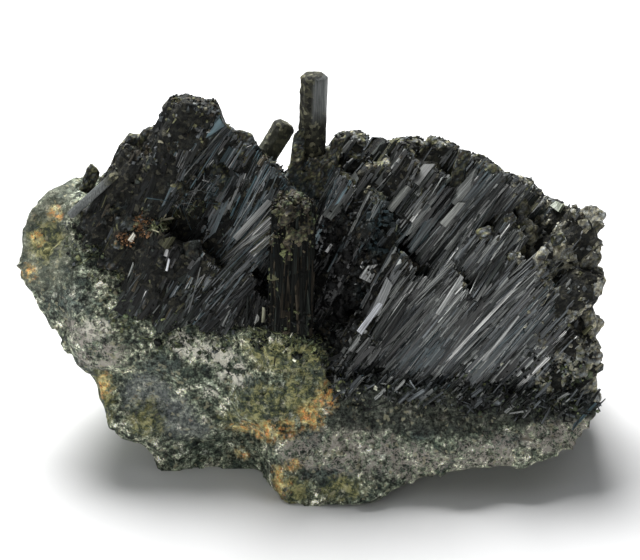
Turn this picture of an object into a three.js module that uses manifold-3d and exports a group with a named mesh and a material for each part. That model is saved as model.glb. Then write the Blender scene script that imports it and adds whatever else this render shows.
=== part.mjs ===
// An aegirine specimen: dark green-black prisms, grown side by side and leaning to the right, on a wedge of
// grey-green host rock. Crystals that stand apart from the intergrown mass are solids of their own.
// Millimetres, +Z up, -Y the front; the origin is on the table, under the middle of the specimen.
import * as THREE from "three";
import { ConvexGeometry } from "three/addons/geometries/ConvexGeometry.js";
import { mergeVertices } from "three/addons/utils/BufferGeometryUtils.js";
import Module from "manifold-3d";

// ---- Driving dimensions -------------------------------------------------------------------------
const SEAT_GAP = 0.32; // clearance between a crystal and what it stands on
const ROCK_EDGE = 5.05; // longest edge on the broken rock surface
const ROCK_RELIEF = 2.1; // height of the lumps on the rock
const RIDGE_SPACING = 15; // distance between the rock's ridges
const LUMP_SPACING = 6; // distance between its lumps
const LOBE_EDGE = -36; // left of this the rock is bare
const PLAIN_RIM = 4; // depth of the plain rim below the crystals
const UNDERSIDE = -1; // what starts below this height is ground flat
const MASS_BACK = 20; // depth of the crystal mass behind the middle
const MASS_RIGHT = 42.3; // the broken right-hand end
const MASS_LEFT = -33; // the roots' left-hand limit, against the bare rock
const PITCH = 4.6; // usual spacing of the intergrown prisms
const FAN_STAGGER = 17; // how far the tips of the front rows may fall short of the crest
const FAN_LEFT = 1; // right of this the front prisms lie side by side as a fan
const FAN_EVENNESS = 0.3; // how much of the usual unevenness the fan's front rows have
const BACK_FALL = 0.55; // how steeply the crest falls away behind the middle
const ROOT_DEPTH = 8; // how far a prism's root is buried in the rock
const BED_HEIGHT = 5; // thickness of the bed that joins the prisms at their roots
const TIP_SCALE = 0.68; // a grown tip's end face against the prism's section

const wasm = await Module();
wasm.setup();

// ---- Repeatable variation -----------------------------------------------------------------------
function randomSource(seed) {
  let state = seed >>> 0;
  return () => {
    state = (state + 0x6d2b79f5) >>> 0;
    let t = Math.imul(state ^ (state >>> 15), 1 | state);
    t = (t + Math.imul(t ^ (t >>> 7), 61 | t)) ^ t;
    return ((t ^ (t >>> 14)) >>> 0) / 4294967296;
  };
}

// A value from -1 to 1 for each whole-numbered corner of space.
function cornerValue(x, y, z) {
  let h = Math.imul(x, 374761393) ^ Math.imul(y, 668265263) ^ Math.imul(z, 2147483647);
  h = Math.imul(h ^ (h >>> 13), 1274126177);
  return ((h ^ (h >>> 16)) >>> 0) / 2147483648 - 1;
}

function smoothNoise(point, wavelength) {
  const p = point.clone().divideScalar(wavelength);
  const base = p.clone().floor();
  const f = p.sub(base);
  const ease = (t) => t * t * (3 - 2 * t);
  let sum = 0;
  for (let corner = 0; corner < 8; corner++) {
    const [dx, dy, dz] = [corner & 1, (corner >> 1) & 1, corner >> 2];
    const weight =
      (dx ? ease(f.x) : 1 - ease(f.x)) * (dy ? ease(f.y) : 1 - ease(f.y)) * (dz ? ease(f.z) : 1 - ease(f.z));
    sum += weight * cornerValue(base.x + dx, base.y + dy, base.z + dz);
  }
  return sum;
}

// ---- Solids and meshes --------------------------------------------------------------------------
function solid(geometry) {
  const bare = geometry.clone();
  bare.deleteAttribute("normal");
  bare.deleteAttribute("uv");
  const merged = mergeVertices(bare, 1e-4);
  return new wasm.Manifold(
    new wasm.Mesh({
      numProp: 3,
      vertProperties: new Float32Array(merged.attributes.position.array),
      triVerts: new Uint32Array(merged.index.array),
    }),
  );
}

function geometryOf(manifold) {
  const mesh = manifold.getMesh();
  const geometry = new THREE.BufferGeometry();
  geometry.setAttribute("position", new THREE.BufferAttribute(mesh.vertProperties, 3));
  geometry.setIndex(new THREE.BufferAttribute(mesh.triVerts, 1));
  geometry.computeVertexNormals();
  return geometry;
}

const hull = (points) => new ConvexGeometry(points.map((p) => new THREE.Vector3(...p)));
const join = (solids) => solids.reduce((whole, one) => whole.add(one));
const largest = (manifold) => manifold.decompose().sort((a, b) => b.volume() - a.volume())[0];

// Splits every edge longer than the limit, the same way in both faces that share it.
function refine(geometry, limit) {
  let points = [];
  const source = geometry.attributes.position;
  for (let i = 0; i < source.count; i++) points.push(new THREE.Vector3().fromBufferAttribute(source, i));
  let faces = [];
  for (let i = 0; i < geometry.index.count; i += 3) {
    faces.push([0, 1, 2].map((k) => geometry.index.getX(i + k)));
  }
  for (let pass = 0; pass < 8; pass++) {
    const middles = new Map();
    const middle = (a, b) => {
      if (points[a].distanceTo(points[b]) <= limit) return null;
      const key = a < b ? `${a}_${b}` : `${b}_${a}`;
      if (!middles.has(key)) middles.set(key, points.push(points[a].clone().lerp(points[b], 0.5)) - 1);
      return middles.get(key);
    };
    const next = [];
    for (const face of faces) {
      // the longest edge comes first, so that a face with one split is cut across its long way
      const lengths = face.map((v, k) => points[v].distanceTo(points[face[(k + 1) % 3]]));
      const start = lengths.indexOf(Math.max(...lengths));
      const [a, b, c] = [0, 1, 2].map((k) => face[(start + k) % 3]);
      const [ab, bc, ca] = [middle(a, b), middle(b, c), middle(c, a)];
      if (ab === null) next.push([a, b, c]);
      else if (bc === null && ca === null) next.push([a, ab, c], [ab, b, c]);
      else if (ca === null) next.push([a, ab, c], [ab, b, bc], [ab, bc, c]);
      else if (bc === null) next.push([ab, b, c], [a, ab, ca], [ab, c, ca]);
      else next.push([a, ab, ca], [ab, b, bc], [ca, bc, c], [ab, bc, ca]);
    }
    faces = next;
    if (!middles.size) break;
  }
  const refined = new THREE.BufferGeometry().setFromPoints(points);
  refined.setIndex(faces.flat());
  refined.computeVertexNormals();
  return refined;
}

// Moves every vertex along its normal by what the function gives for that place.
function displace(geometry, height) {
  const moved = geometry.clone();
  const position = moved.attributes.position;
  const normals = geometry.attributes.normal;
  for (let i = 0; i < position.count; i++) {
    const p = new THREE.Vector3().fromBufferAttribute(position, i);
    const n = new THREE.Vector3().fromBufferAttribute(normals, i);
    p.addScaledVector(n, height(p, n));
    position.setXYZ(i, p.x, p.y, p.z);
  }
  return moved;
}

// ---- Host rock ----------------------------------------------------------------------------------
// A wedge, high at the left and thin at the right, broken on every side. The middle of its underside is flat,
// and the right-hand end and the left-hand tip overhang the table.
const WEDGE = [
  [-45.5, -3, 30.5], [-44, 8, 27], [-44.9, 0.5, 36], [-43.6, 1, 39], // left-hand tip
  [-41.4, 2, 41.8], [-37, 9, 41], [-38, 17, 34],
  [-33, -11, 14.2], [-31, -11.8, 8], [-32, -11.5, 25.5], [-13.5, -9.5, 23.5], [2, -13, 18], // left front face
  [-25, -12.5, -1.5], [-14.5, -10.5, -1.5], [14, -11, -1.5], [20, 18, -1.5], [-22, 18, -1.5], // underside
  [24, -16, 5], [38, -14, 7], [43, 4, 11], [40, 18, 13], [34, 22, 6], // right-hand end
  [-30, 22, 12], [0, 25, 20], [-22, 24, 28], // back
];
// The right-hand part of the front, from the near foot to the thin end. Its left edge parts the two front
// faces.
const RIGHT_FRONT = [
  [-4.5, -22.5, -1], [-6.5, -20.5, 3], [2, -17, 18], [13, -20.5, 2], [29, -19.5, 6], [39.5, -17, 6.5],
  [42, -14, 13], [22, -16, 13.5], [-10, -9, 19], [-11, -9, -1.5], [16, -10, -1.5], [38, -8, 11],
];

// The raised corner between the two front faces, where the column stands.
const CORNER = [
  [-8, -15, 26], [-3.5, -15.5, 26.2], [-0.5, -16, 23.8], [2.2, -17, 20], [1.8, -18, 14.5], [-5.5, -21, 3],
  [-15, -12, 15], [-13, -14, 8], [-14, -9.5, 23.6], [-8, -9, 24.5], [-3, -9, 24], [2, -10, 19], [-10, -9, 8],
];

const ROCK_HULLS = [WEDGE, RIGHT_FRONT, CORNER];

// A hull grown outwards by an octahedron, so that every one of its faces moves out by SEAT_GAP or more.
const OCTAHEDRON_REACH = SEAT_GAP * Math.sqrt(3);
const OCTAHEDRON = [-OCTAHEDRON_REACH, OCTAHEDRON_REACH].flatMap((r) => [[r, 0, 0], [0, r, 0], [0, 0, r]]);
const grown = (points) => points.flatMap(([x, y, z]) => OCTAHEDRON.map(([a, b, c]) => [x + a, y + b, z + c]));

// A value that runs straight between the listed [position, value] pairs.
function profile(pairs, x) {
  const k = pairs.findIndex(([px]) => px > x);
  if (k <= 0) return pairs[k === 0 ? 0 : pairs.length - 1][1];
  const [[x0, z0], [x1, z1]] = [pairs[k - 1], pairs[k]];
  return z0 + ((z1 - z0) * (x - x0)) / (x1 - x0);
}
// Height of the rock's upper edge along the front, from left to right.
const ROCK_TOP = [
  [-45, 41], [-38, 36], [-31, 26], [-13.5, 23], [-8, 25.5], [-3.5, 25.5], [2.5, 19.5], [24, 13], [42, 12.5],
];
const rockTopAt = (x) => profile(ROCK_TOP, x);

// Ridges, lumps and hollows. Nothing rises where crystals stand, and the surface under them stays plain.
// So does the underside, which lies below the table before it is cut flat.
function rockHeight(p, normal) {
  if (p.z < UNDERSIDE) return 0;
  const ridges = 0.5 - 1.6 * Math.abs(smoothNoise(p, RIDGE_SPACING));
  const lumps = ridges + 0.9 * smoothNoise(p.clone().addScalar(40), LUMP_SPACING) - 0.25;
  const isLobe = p.x < LOBE_EDGE;
  const nearCrystals = !isLobe && p.z > rockTopAt(p.x) - PLAIN_RIM;
  const facesUp = isLobe ? 0 : THREE.MathUtils.smoothstep(normal.z, 0.4, 0.7);
  const highest = nearCrystals ? 0 : isLobe ? 0.2 : 0.7;
  const relief = ROCK_RELIEF * (isLobe ? 0.5 : 1);
  return relief * Math.min(lumps, highest) * (1 - facesUp);
}

function rockSolid() {
  const block = join(ROCK_HULLS.map((points) => solid(hull(points))));
  const bare = geometryOf(block);
  bare.deleteAttribute("normal");
  return solid(displace(refine(mergeVertices(bare, 1e-4), ROCK_EDGE), rockHeight));
}

const TABLE_HALF = 90;
const sides = [-TABLE_HALF, TABLE_HALF];
const table = solid(hull(sides.flatMap((x) => sides.flatMap((y) => [[x, y, 0], [x, y, -TABLE_HALF]]))));
const rock = largest(rockSolid().subtract(table));
const rockClearance = join(ROCK_HULLS.map((points) => solid(hull(grown(points)))));

// ---- Crystals -----------------------------------------------------------------------------------
const v = (x, y, z) => new THREE.Vector3(x, y, z);

// Every prism leans to the right and a little back, and leans more towards the right-hand end.
function leanAt(x) {
  const share = THREE.MathUtils.clamp((x + 35) / 75, 0, 1);
  return v(0.66 + 0.42 * share * share, 0.28, 1).normalize();
}

// Half of each section's corners, as shares of half the width and half the thickness. The rest mirror them.
const HALF_SECTION = { 6: [[1, 0], [0.55, 1], [-0.55, 1]], 8: [[1, 0.5], [0.5, 1], [-0.5, 1], [-1, 0.5]] };
const sectionOf = (sides) => HALF_SECTION[sides].concat(HALF_SECTION[sides].map(([u, w]) => [-u, -w]));

// A flat-faced prism: root and tip are the ends of its axis, the section is width by thickness, and the cut
// end is tilted by slope along the width. With a bevel its tip narrows, as a grown termination does.
function prism({ root, tip, width, thickness, turn = 0, slope = 0, bevel = 0, sides = 6 }) {
  const axis = new THREE.Vector3().subVectors(tip, root).normalize();
  const across = new THREE.Vector3(0, -1, 0).cross(axis).normalize().applyAxisAngle(axis, turn);
  const depth = new THREE.Vector3().crossVectors(axis, across);
  const ring = sectionOf(sides).map(([u, w]) => [(u * width) / 2, (w * thickness) / 2]);
  const at = (end, [u, w], along, scale) => {
    const offset = across.clone().multiplyScalar(u * scale).addScaledVector(depth, w * scale);
    return offset.addScaledVector(axis, along).add(end);
  };
  const points = ring.map((c) => at(root, c, 0, 1));
  for (const c of ring) {
    points.push(at(tip, c, slope * c[0] - bevel, 1));
    if (bevel) points.push(at(tip, c, slope * c[0], TIP_SCALE));
  }
  return solid(new ConvexGeometry(points));
}

// Height of the broken crest of the mass, from left to right.
const CREST = [
  [-40, 38], [-33, 42], [-28, 46], [-24, 48], [-21, 53], [-15, 53], [-12, 49], [-8, 47], [-5, 44], [-1, 44],
  [3, 49.5], [8, 48.5], [12, 48], [16, 49], [20, 48.5], [24, 46.5], [30, 43.5], [36, 41], [40, 40], [44, 39.5],
];
// Depth of its front face, which is hollow in the middle, where the column stands.
const FRONT = [[-38, -1], [-33, -6], [-28, -9], [-13, -8.5], [-6, -8], [1, -9.5], [7, -13.5], [41, -13.5]];
// How far the front prisms end below the crest.
const FRONT_STEP = [[-36, 6], [-24, 9], [-12, 17], [2, 17], [8, 8], [20, 4], [44, 3]];

function topAt(x, y) {
  const front = THREE.MathUtils.clamp((2 - y) / 12, 0, 1);
  return profile(CREST, x) - profile(FRONT_STEP, x) * front - BACK_FALL * Math.max(y - 2, 0);
}

// Rows of prisms from front to back: depth behind the front face, girth against the usual one, how far
// their tips may fall short of the crest, and how steeply those tips may be cut.
const ROWS = [
  [0, 0.72, FAN_STAGGER, 0.8], [2.7, 0.78, FAN_STAGGER * 0.7, 0.7], [6, 0.95, 9, 0.45],
  [10.5, 1, 8, 0.45], [16, 1.4, 8, 0.4], [22.5, 1.5, 8, 0.4],
];

function intergrownPrisms() {
  const random = randomSource(11);
  const spread = (amount) => (random() - 0.5) * amount;
  const prisms = [];
  for (const [depth, girth, stagger, steepest] of ROWS) {
    const step = PITCH * girth * 1.25;
    for (let x = MASS_LEFT; x <= MASS_RIGHT - 5; x += step) {
      const rootX = x + spread(step * 0.7);
      const uneven = rootX > FAN_LEFT && depth < 4 ? FAN_EVENNESS : 1;
      const rootY = profile(FRONT, rootX) + depth + spread(PITCH * 0.5) * uneven;
      const axis = leanAt(rootX + 12).add(v(spread(0.14), spread(0.1), 0).multiplyScalar(uneven)).normalize();
      const root = v(rootX, rootY, rockTopAt(rootX) - ROOT_DEPTH);
      const width = girth * PITCH * (1.1 + 0.8 * random());
      const slope = spread(2 * steepest);
      const slant = (Math.abs(slope) * width) / 2; // how far the longer edge runs past the axis
      const short = stagger * random() ** 2 + slant;
      const endX = MASS_RIGHT - 2 * random() - slant - width * 0.25;
      const thickness = girth * PITCH * (0.8 + 0.35 * random());
      const turn = spread(1.1) * uneven;
      const tip = root.clone();
      while (tip.z < topAt(tip.x, tip.y) - short && tip.x < endX && tip.y < MASS_BACK) {
        tip.addScaledVector(axis, 0.5);
      }
      if (tip.z > rockTopAt(tip.x) + 2) prisms.push(prism({ root, tip, width, thickness, turn, slope }));
    }
  }
  return prisms;
}

const blade = (root, tip, width, thickness, turn, slope) =>
  ({ root: v(...root), tip: v(...tip), width, thickness, turn, slope });
// The blades and slabs that stand out of the mass, from left to right. Each gives its root, tip, width,
// thickness, turn and slope.
const MAIN_PRISMS = [
  blade([-39, 4.5, 34], [-33.8, 5.5, 44], 3, 3, 0.3, 0.4), // left fin
  blade([-36, -2, 31], [-26.4, 0, 47.5], 5.6, 5, 0.2, 0.2),
  blade([-32.2, -4, 27], [-17.4, 0.7, 55.6], 8.6, 6, -0.1, -0.4), // left peak
  blade([-29, -2, 26], [-15, 3.5, 51], 4.5, 5, 0.5, -0.4),
  blade([-24, -3, 24], [-11.6, 2.5, 48.5], 5.4, 4.5, 0.1, -0.4), // middle peak
  blade([-31, -9.5, 20], [-21.5, -6.5, 37], 7, 4.5, -0.2, 0.3), // lower tier
  blade([-26, -11, 18], [-16.5, -7.5, 34.5], 6.5, 3.6, 0.2, 0.4),
  blade([-20, -10.5, 17], [-10.5, -7.5, 32.5], 5.5, 4, -0.1, 0.3),
  blade([-13, -10.5, 16], [-7.8, -9.5, 29], 5, 4, 0.2, 0.2),
  blade([-20, -6.5, 18], [-5.5, -1.5, 45], 9.5, 4.5, -0.25, 0.3), // broad slab
  blade([-19, -9.5, 25.5], [-3.2, -6.8, 42.5], 3, 2.8, 0.4, -0.3), // long spindle
  blade([-6, -4, 22], [3.5, -1.5, 45], 5.5, 5, 0.2, 0.4),
  blade([-4, 0, 34], [-0.5, 1, 46.8], 6.5, 5, 0.3, -0.5), // under the upright prism
  blade([-2, -8, 20], [8.5, -4.5, 43], 3.6, 3.2, -0.3, 0.4), // by the hollow
  blade([0, -12.5, 12], [6.5, -11, 24.5], 5.5, 4, 0.3, 0.3),
  blade([3, -9.5, 15], [12.5, -6.5, 34], 5, 4.5, 0.3, 0.4),
  blade([4, -2, 26], [13.6, 0.5, 47], 5.5, 4.5, -0.2, 0.5), // crest, front and back
  blade([-7, 3, 28], [5.2, 5.5, 48.6], 4.6, 4.5, 0.3, -0.3),
  blade([0.5, 2, 25], [13.6, 4.8, 47.8], 5, 4.5, 0.1, -0.2),
  blade([5.5, 1, 24], [18.6, 4.2, 47.6], 5, 4.5, -0.2, -0.1),
  blade([12, 1, 22], [25, 4, 44.8], 5, 4.5, 0.25, -0.2),
  blade([18, 2, 18], [31.5, 5, 40.8], 5, 4.5, 0.1, 0),
  blade([6, -13.6, 8], [20.5, -9.5, 32], 4.5, 3, 0.05, 0.8), // front of the fan
  blade([15, -14, 6], [33, -10, 33.5], 5, 3, -0.05, 0.9),
  blade([21, -6, 10], [39.5, -1, 37], 6, 5, 0.2, 0.4), // right-hand end
  blade([25, -9, 8], [40, -5, 30.5], 5.5, 5, -0.2, -0.2),
  blade([19, 0, 12], [37, 5, 36.5], 6, 6, 0.1, 0.2),
  blade([30, -10, 4], [41, -8.5, 20], 5.5, 5, 0.2, 0.8),
  blade([33, -4, 5], [42, -2.5, 16.5], 5, 5, 0.1, 0.7),
];

// The low bed of aegirine over the rock, from which the prisms rise.
function crystalBed() {
  const stations = [MASS_LEFT + 4, -24, -13.5, 2.5, 24, MASS_RIGHT - 9];
  const across = (x) =>
    [profile(FRONT, x) + 4, MASS_BACK - 6].flatMap((y) =>
      [-ROOT_DEPTH, BED_HEIGHT].map((rise) => [x, y, rockTopAt(x) + rise]),
    );
  return stations.slice(1).map((x, k) => solid(hull([...across(stations[k]), ...across(x)])));
}

const massSolids = [...crystalBed(), ...intergrownPrisms(), ...MAIN_PRISMS.map((spec) => prism(spec))];

// The crystals that stand by themselves.
const STANDING = {
  upright_prism: { ...blade([-1.4, 2, 42], [-0.8, 2, 59.5], 3.9, 3.4, 0.5, 0), bevel: 0.5, sides: 8 },
  leaning_prism: { ...blade([-12, 3, 39], [-5, 5.4, 50.4], 3.3, 2.8, 0.3, 0), bevel: 0.6, sides: 8 },
  column_crystal: { ...blade([-4.5, -13.5, 24.4], [-3.8, -9.5, 45], 5.4, 4.8, 0.2, 0), bevel: 1.2, sides: 8 },
  left_blade: blade([-37.2, -1, 38.2], [-29.5, -2.6, 45.9], 1.5, 1.4, 0.2, -0.6),
};
// The pocket that such a crystal stands in, clear of it all round.
const pocket = (spec) => ({
  ...spec,
  width: spec.width + 2 * SEAT_GAP,
  thickness: spec.thickness + 2 * SEAT_GAP,
  root: spec.root.clone().addScaledVector(spec.root.clone().sub(spec.tip).normalize(), SEAT_GAP),
});

const cutByRock = (manifold) => manifold.subtract(rockClearance);
let mass = cutByRock(join(massSolids));
const standing = {};
for (const [name, spec] of Object.entries(STANDING)) {
  standing[name] = largest(cutByRock(prism(spec)));
  mass = mass.subtract(prism(pocket(spec)));
}
mass = largest(mass);

// ---- The specimen -------------------------------------------------------------------------------
const specimen = new THREE.Group();
function add(name, manifold, colour, roughness) {
  const finish = new THREE.MeshStandardMaterial({ color: colour, roughness, metalness: 0 });
  const mesh = new THREE.Mesh(geometryOf(manifold), finish);
  mesh.name = name;
  specimen.add(mesh);
}
add("host_rock", rock, 0x6b7061, 0.9);
add("crystal_mass", mass, 0x23292b, 0.4);
for (const [name, manifold] of Object.entries(standing)) add(name, manifold, 0x2c3230, 0.35);

export default specimen;
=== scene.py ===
"""Looks of an aegirine specimen: dark leaning prisms on a wedge of grey-green host rock.

Lengths are millimetres until a mesh is made; the frame and Blender are in metres.
"""

import bpy
import numpy as np
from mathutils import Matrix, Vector
from mathutils.bvhtree import BVHTree
from mathutils.kdtree import KDTree


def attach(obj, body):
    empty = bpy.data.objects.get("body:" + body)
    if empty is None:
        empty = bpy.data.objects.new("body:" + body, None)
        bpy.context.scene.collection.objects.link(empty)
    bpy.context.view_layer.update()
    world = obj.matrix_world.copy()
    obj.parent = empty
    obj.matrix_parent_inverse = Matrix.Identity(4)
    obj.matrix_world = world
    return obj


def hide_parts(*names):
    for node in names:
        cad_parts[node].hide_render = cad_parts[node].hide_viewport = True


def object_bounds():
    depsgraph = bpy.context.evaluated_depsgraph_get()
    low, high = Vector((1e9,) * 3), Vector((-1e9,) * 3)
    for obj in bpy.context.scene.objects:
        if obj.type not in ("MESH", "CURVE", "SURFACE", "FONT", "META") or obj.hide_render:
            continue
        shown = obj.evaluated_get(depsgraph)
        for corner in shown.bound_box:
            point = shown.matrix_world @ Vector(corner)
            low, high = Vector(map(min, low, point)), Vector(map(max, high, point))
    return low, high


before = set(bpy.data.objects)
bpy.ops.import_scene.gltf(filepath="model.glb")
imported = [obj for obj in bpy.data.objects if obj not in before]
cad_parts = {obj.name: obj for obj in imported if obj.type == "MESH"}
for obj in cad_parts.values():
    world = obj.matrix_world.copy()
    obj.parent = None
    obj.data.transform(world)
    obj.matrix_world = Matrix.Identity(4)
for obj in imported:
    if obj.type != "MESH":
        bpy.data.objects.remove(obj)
cad_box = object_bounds()

# ---- Host rock ----------------------------------------------------------------------------------
# A loose wedge of fine-grained alkaline rock, broken from its bed: grey-green, mottled with dark and
# off-white grains, with pinkish worm-like patches, a rusty streak and a yellow-green bloom.

MM = 0.001
ROCK_CELL = 0.58  # size of the rock mesh's faces, in millimetres as all that follows
ROCK_BREAKS = [(5.0, 0.3), (2.1, 0.2), (0.9, 0.13)]  # spacing and height of its lumps, coarse to fine
CHIP_SPACING, CHIP_HEIGHT = 3.6, 0.32  # the flat chips of its broken surface


def corner_value(cell, seed):
    """A repeatable value from -1 to 1 for each whole-numbered cell of space."""
    c = cell.astype(np.int64)
    h = c[:, 0] * 374761393 + c[:, 1] * 668265263 + c[:, 2] * 2147483647 + seed * 1274126177
    h = (h ^ (h >> 13)) * 1274126177 & 0xFFFFFFFF
    h = (h ^ (h >> 16)) * 2246822519 & 0xFFFFFFFF
    return (h ^ (h >> 15)).astype(float) / 2147483648.0 - 1.0


def lumps(points, spacing, seed=0):
    """Smooth noise from -1 to 1 over points, with lumps that far apart."""
    p = points / spacing
    base = np.floor(p)
    f = p - base
    f = f * f * (3 - 2 * f)
    total = np.zeros(len(p))
    for corner in range(8):
        step = np.array([corner & 1, corner >> 1 & 1, corner >> 2])
        weight = np.prod(np.where(step, f, 1 - f), axis=1)
        total += weight * corner_value(base + step, seed)
    return total


def chips(points, spacing, seed):
    """Height from -1 to 1 of flat chips about that far apart, each tilted its own way."""
    random = np.random.default_rng(seed)
    low, high = points.min(0) - spacing, points.max(0) + spacing
    count = int(np.prod((high - low) / spacing))
    centres = random.uniform(low, high, (count, 3))
    tilts = random.normal(0, 1, (count, 3)) / spacing
    tree = KDTree(count)
    for k, centre in enumerate(centres):
        tree.insert(centre, k)
    tree.balance()
    owner = np.array([tree.find(p)[1] for p in points])
    return np.clip(((points - centres[owner]) * tilts[owner]).sum(1), -1, 1)


def mesh_of(name, points, faces):
    """An object from points in millimetres and a list of face arrays, each of one corner count."""
    mesh = bpy.data.meshes.new(name)
    mesh.vertices.add(len(points))
    mesh.vertices.foreach_set("co", (points * MM).astype(np.float32).ravel())
    corners = np.concatenate([f.ravel() for f in faces]).astype(np.int32)
    sizes = np.concatenate([np.full(len(f), f.shape[1]) for f in faces])
    mesh.loops.add(len(corners))
    mesh.loops.foreach_set("vertex_index", corners)
    mesh.polygons.add(len(sizes))
    mesh.polygons.foreach_set("loop_start", np.concatenate([[0], np.cumsum(sizes)[:-1]]).astype(np.int32))
    mesh.update(calc_edges=True)
    mesh.validate()
    mesh.shade_flat()
    piece = bpy.data.objects.new(name, mesh)
    bpy.context.scene.collection.objects.link(piece)
    return piece


def points_of(mesh):
    """A mesh's vertices in millimetres."""
    co = np.zeros(len(mesh.vertices) * 3)
    mesh.vertices.foreach_get("co", co)
    return co.reshape(-1, 3) / MM


def normals_of(mesh):
    """The direction in which each vertex faces."""
    normals = np.zeros(len(mesh.vertices) * 3)
    mesh.vertex_normals.foreach_get("vector", normals)
    return normals.reshape(-1, 3)


def even_faces(piece, cell):
    """Remeshes a piece to one skin with even faces of that size."""
    remesh = piece.modifiers.new("even faces", "REMESH")
    remesh.mode = "VOXEL"
    remesh.voxel_size = cell * MM
    fine = bpy.data.meshes.new_from_object(piece.evaluated_get(bpy.context.evaluated_depsgraph_get()))
    piece.modifiers.clear()
    piece.data = fine
    fine.name = piece.name


def fine_copy(node, name, cell):
    """A copy of a frame solid with even faces of that size."""
    piece = bpy.data.objects.new(name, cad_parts[node].data.copy())
    bpy.context.scene.collection.objects.link(piece)
    piece.data.materials.clear()
    even_faces(piece, cell)
    return piece


def inside_box(points):
    """Points held inside the frame's box."""
    return np.clip(points, np.array(cad_box[0]) / MM, np.array(cad_box[1]) / MM)


def raise_by(piece, height, hold=inside_box):
    """Moves each vertex along its normal by its height, and gives the new points."""
    mesh = piece.data
    points = hold(points_of(mesh) + normals_of(mesh) * height[:, None])
    mesh.vertices.foreach_set("co", (points * MM).astype(np.float32).ravel())
    mesh.update()
    return points


def roughness_at(points, breaks):
    """Noise of each spacing and height, added up."""
    return sum(height * lumps(points, spacing, seed=k) for k, (spacing, height) in enumerate(breaks))


def paint(piece, name, values):
    """Stores one number or one vector for each vertex."""
    values = np.asarray(values, np.float32)
    if values.ndim == 1:
        piece.data.attributes.new(name, "FLOAT", "POINT").data.foreach_set("value", values)
    else:
        piece.data.attributes.new(name, "FLOAT_VECTOR", "POINT").data.foreach_set("vector", values.ravel())


def dress(piece, material):
    """Gives a piece its finish and fixes it to the specimen."""
    piece.data.materials.append(material)
    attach(piece, "root")


def near(points, spots):
    """How near points lie to the spots, each a centre and its reach along x, y and z, from 0 to 1."""
    best = np.zeros(len(points))
    for centre, reach in spots:
        away = np.linalg.norm((points - np.array(centre)) / np.array(reach), axis=1)
        best = np.maximum(best, np.clip(1.4 - away, 0, 1))
    return best


def between(values, low, high, soft=1.5):
    """1 where values lie between low and high, fading to 0 over the soft distance."""
    return np.clip((values - low) / soft + 0.5, 0, 1) * np.clip((high - values) / soft + 0.5, 0, 1)


class Finish:
    """A material and short ways to lay its nodes."""

    def __init__(self, name):
        self.material = bpy.data.materials.new(name)
        self.material.use_nodes = True
        self.tree = self.material.node_tree
        self.shader = self.tree.nodes["Principled BSDF"]

    def node(self, kind, links=(), **values):
        made = self.tree.nodes.new("ShaderNode" + kind)
        for key, value in values.items():
            setattr(made, key, value)
        for socket, source in dict(links).items():
            self.put(made.inputs[socket], source)
        return made

    def put(self, socket, source):
        if isinstance(source, bpy.types.NodeSocket):
            self.tree.links.new(source, socket)
        else:
            socket.default_value = source

    def stored(self, name, output="Fac"):
        return self.node("Attribute", attribute_name=name).outputs[output]

    def place(self):
        """The place on the object, in millimetres."""
        return self.scaled(self.node("TexCoord").outputs["Object"], (1000, 1000, 1000))

    def scaled(self, vector, factors):
        return self.node("VectorMath", {0: vector, 1: factors}, operation="MULTIPLY").outputs[0]

    def noise(self, where, scale, detail=3.0, rough=0.6, distortion=0.0, output="Fac"):
        made = self.node("TexNoise", {"Scale": scale, "Detail": detail, "Roughness": rough,
                                      "Distortion": distortion, "Vector": where})
        return made.outputs[output]

    def bent(self, where, scale, amount):
        """Places shifted about by noise, so that what is laid on them has wandering edges."""
        wander = self.noise(where, scale, detail=2, output="Color")
        shift = self.node("VectorMath", {0: wander, 1: (0.5, 0.5, 0.5)}, operation="SUBTRACT").outputs[0]
        moved = self.node("VectorMath", {0: shift, 1: (amount,) * 3, 2: where}, operation="MULTIPLY_ADD")
        return moved.outputs[0]

    def grain(self, where, scale):
        """A random value for each grain."""
        cells = self.node("TexVoronoi", {"Scale": scale, "Vector": where}).outputs["Color"]
        return self.node("SeparateColor", {0: cells}).outputs[0]

    def ramp(self, value, stops):
        made = self.node("ValToRGB", {"Fac": value})
        ends = made.color_ramp.elements
        while len(ends) < len(stops):
            ends.new(0.5)
        for end, (place, colour) in zip(ends, stops):
            end.position = place
            grey = (colour, colour, colour) if isinstance(colour, float) else colour
            end.color = (*grey, 1)
        return made.outputs["Color"]

    def mix(self, share, under, over, blend="MIX"):
        made = self.node("Mix", data_type="RGBA", blend_type=blend)
        self.put(made.inputs[0], share)
        self.put(made.inputs[6], under if isinstance(under, bpy.types.NodeSocket) else (*under, 1))
        self.put(made.inputs[7], over if isinstance(over, bpy.types.NodeSocket) else (*over, 1))
        return made.outputs[2]

    def sum(self, operation, a, b):
        return self.node("Math", {0: a, 1: b}, operation=operation).outputs[0]

    def bump(self, height, distance, under=None):
        made = self.node("Bump", {"Height": height, "Distance": distance * MM, "Strength": 1.0})
        if under is not None:
            self.put(made.inputs["Normal"], under)
        return made.outputs["Normal"]


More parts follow.
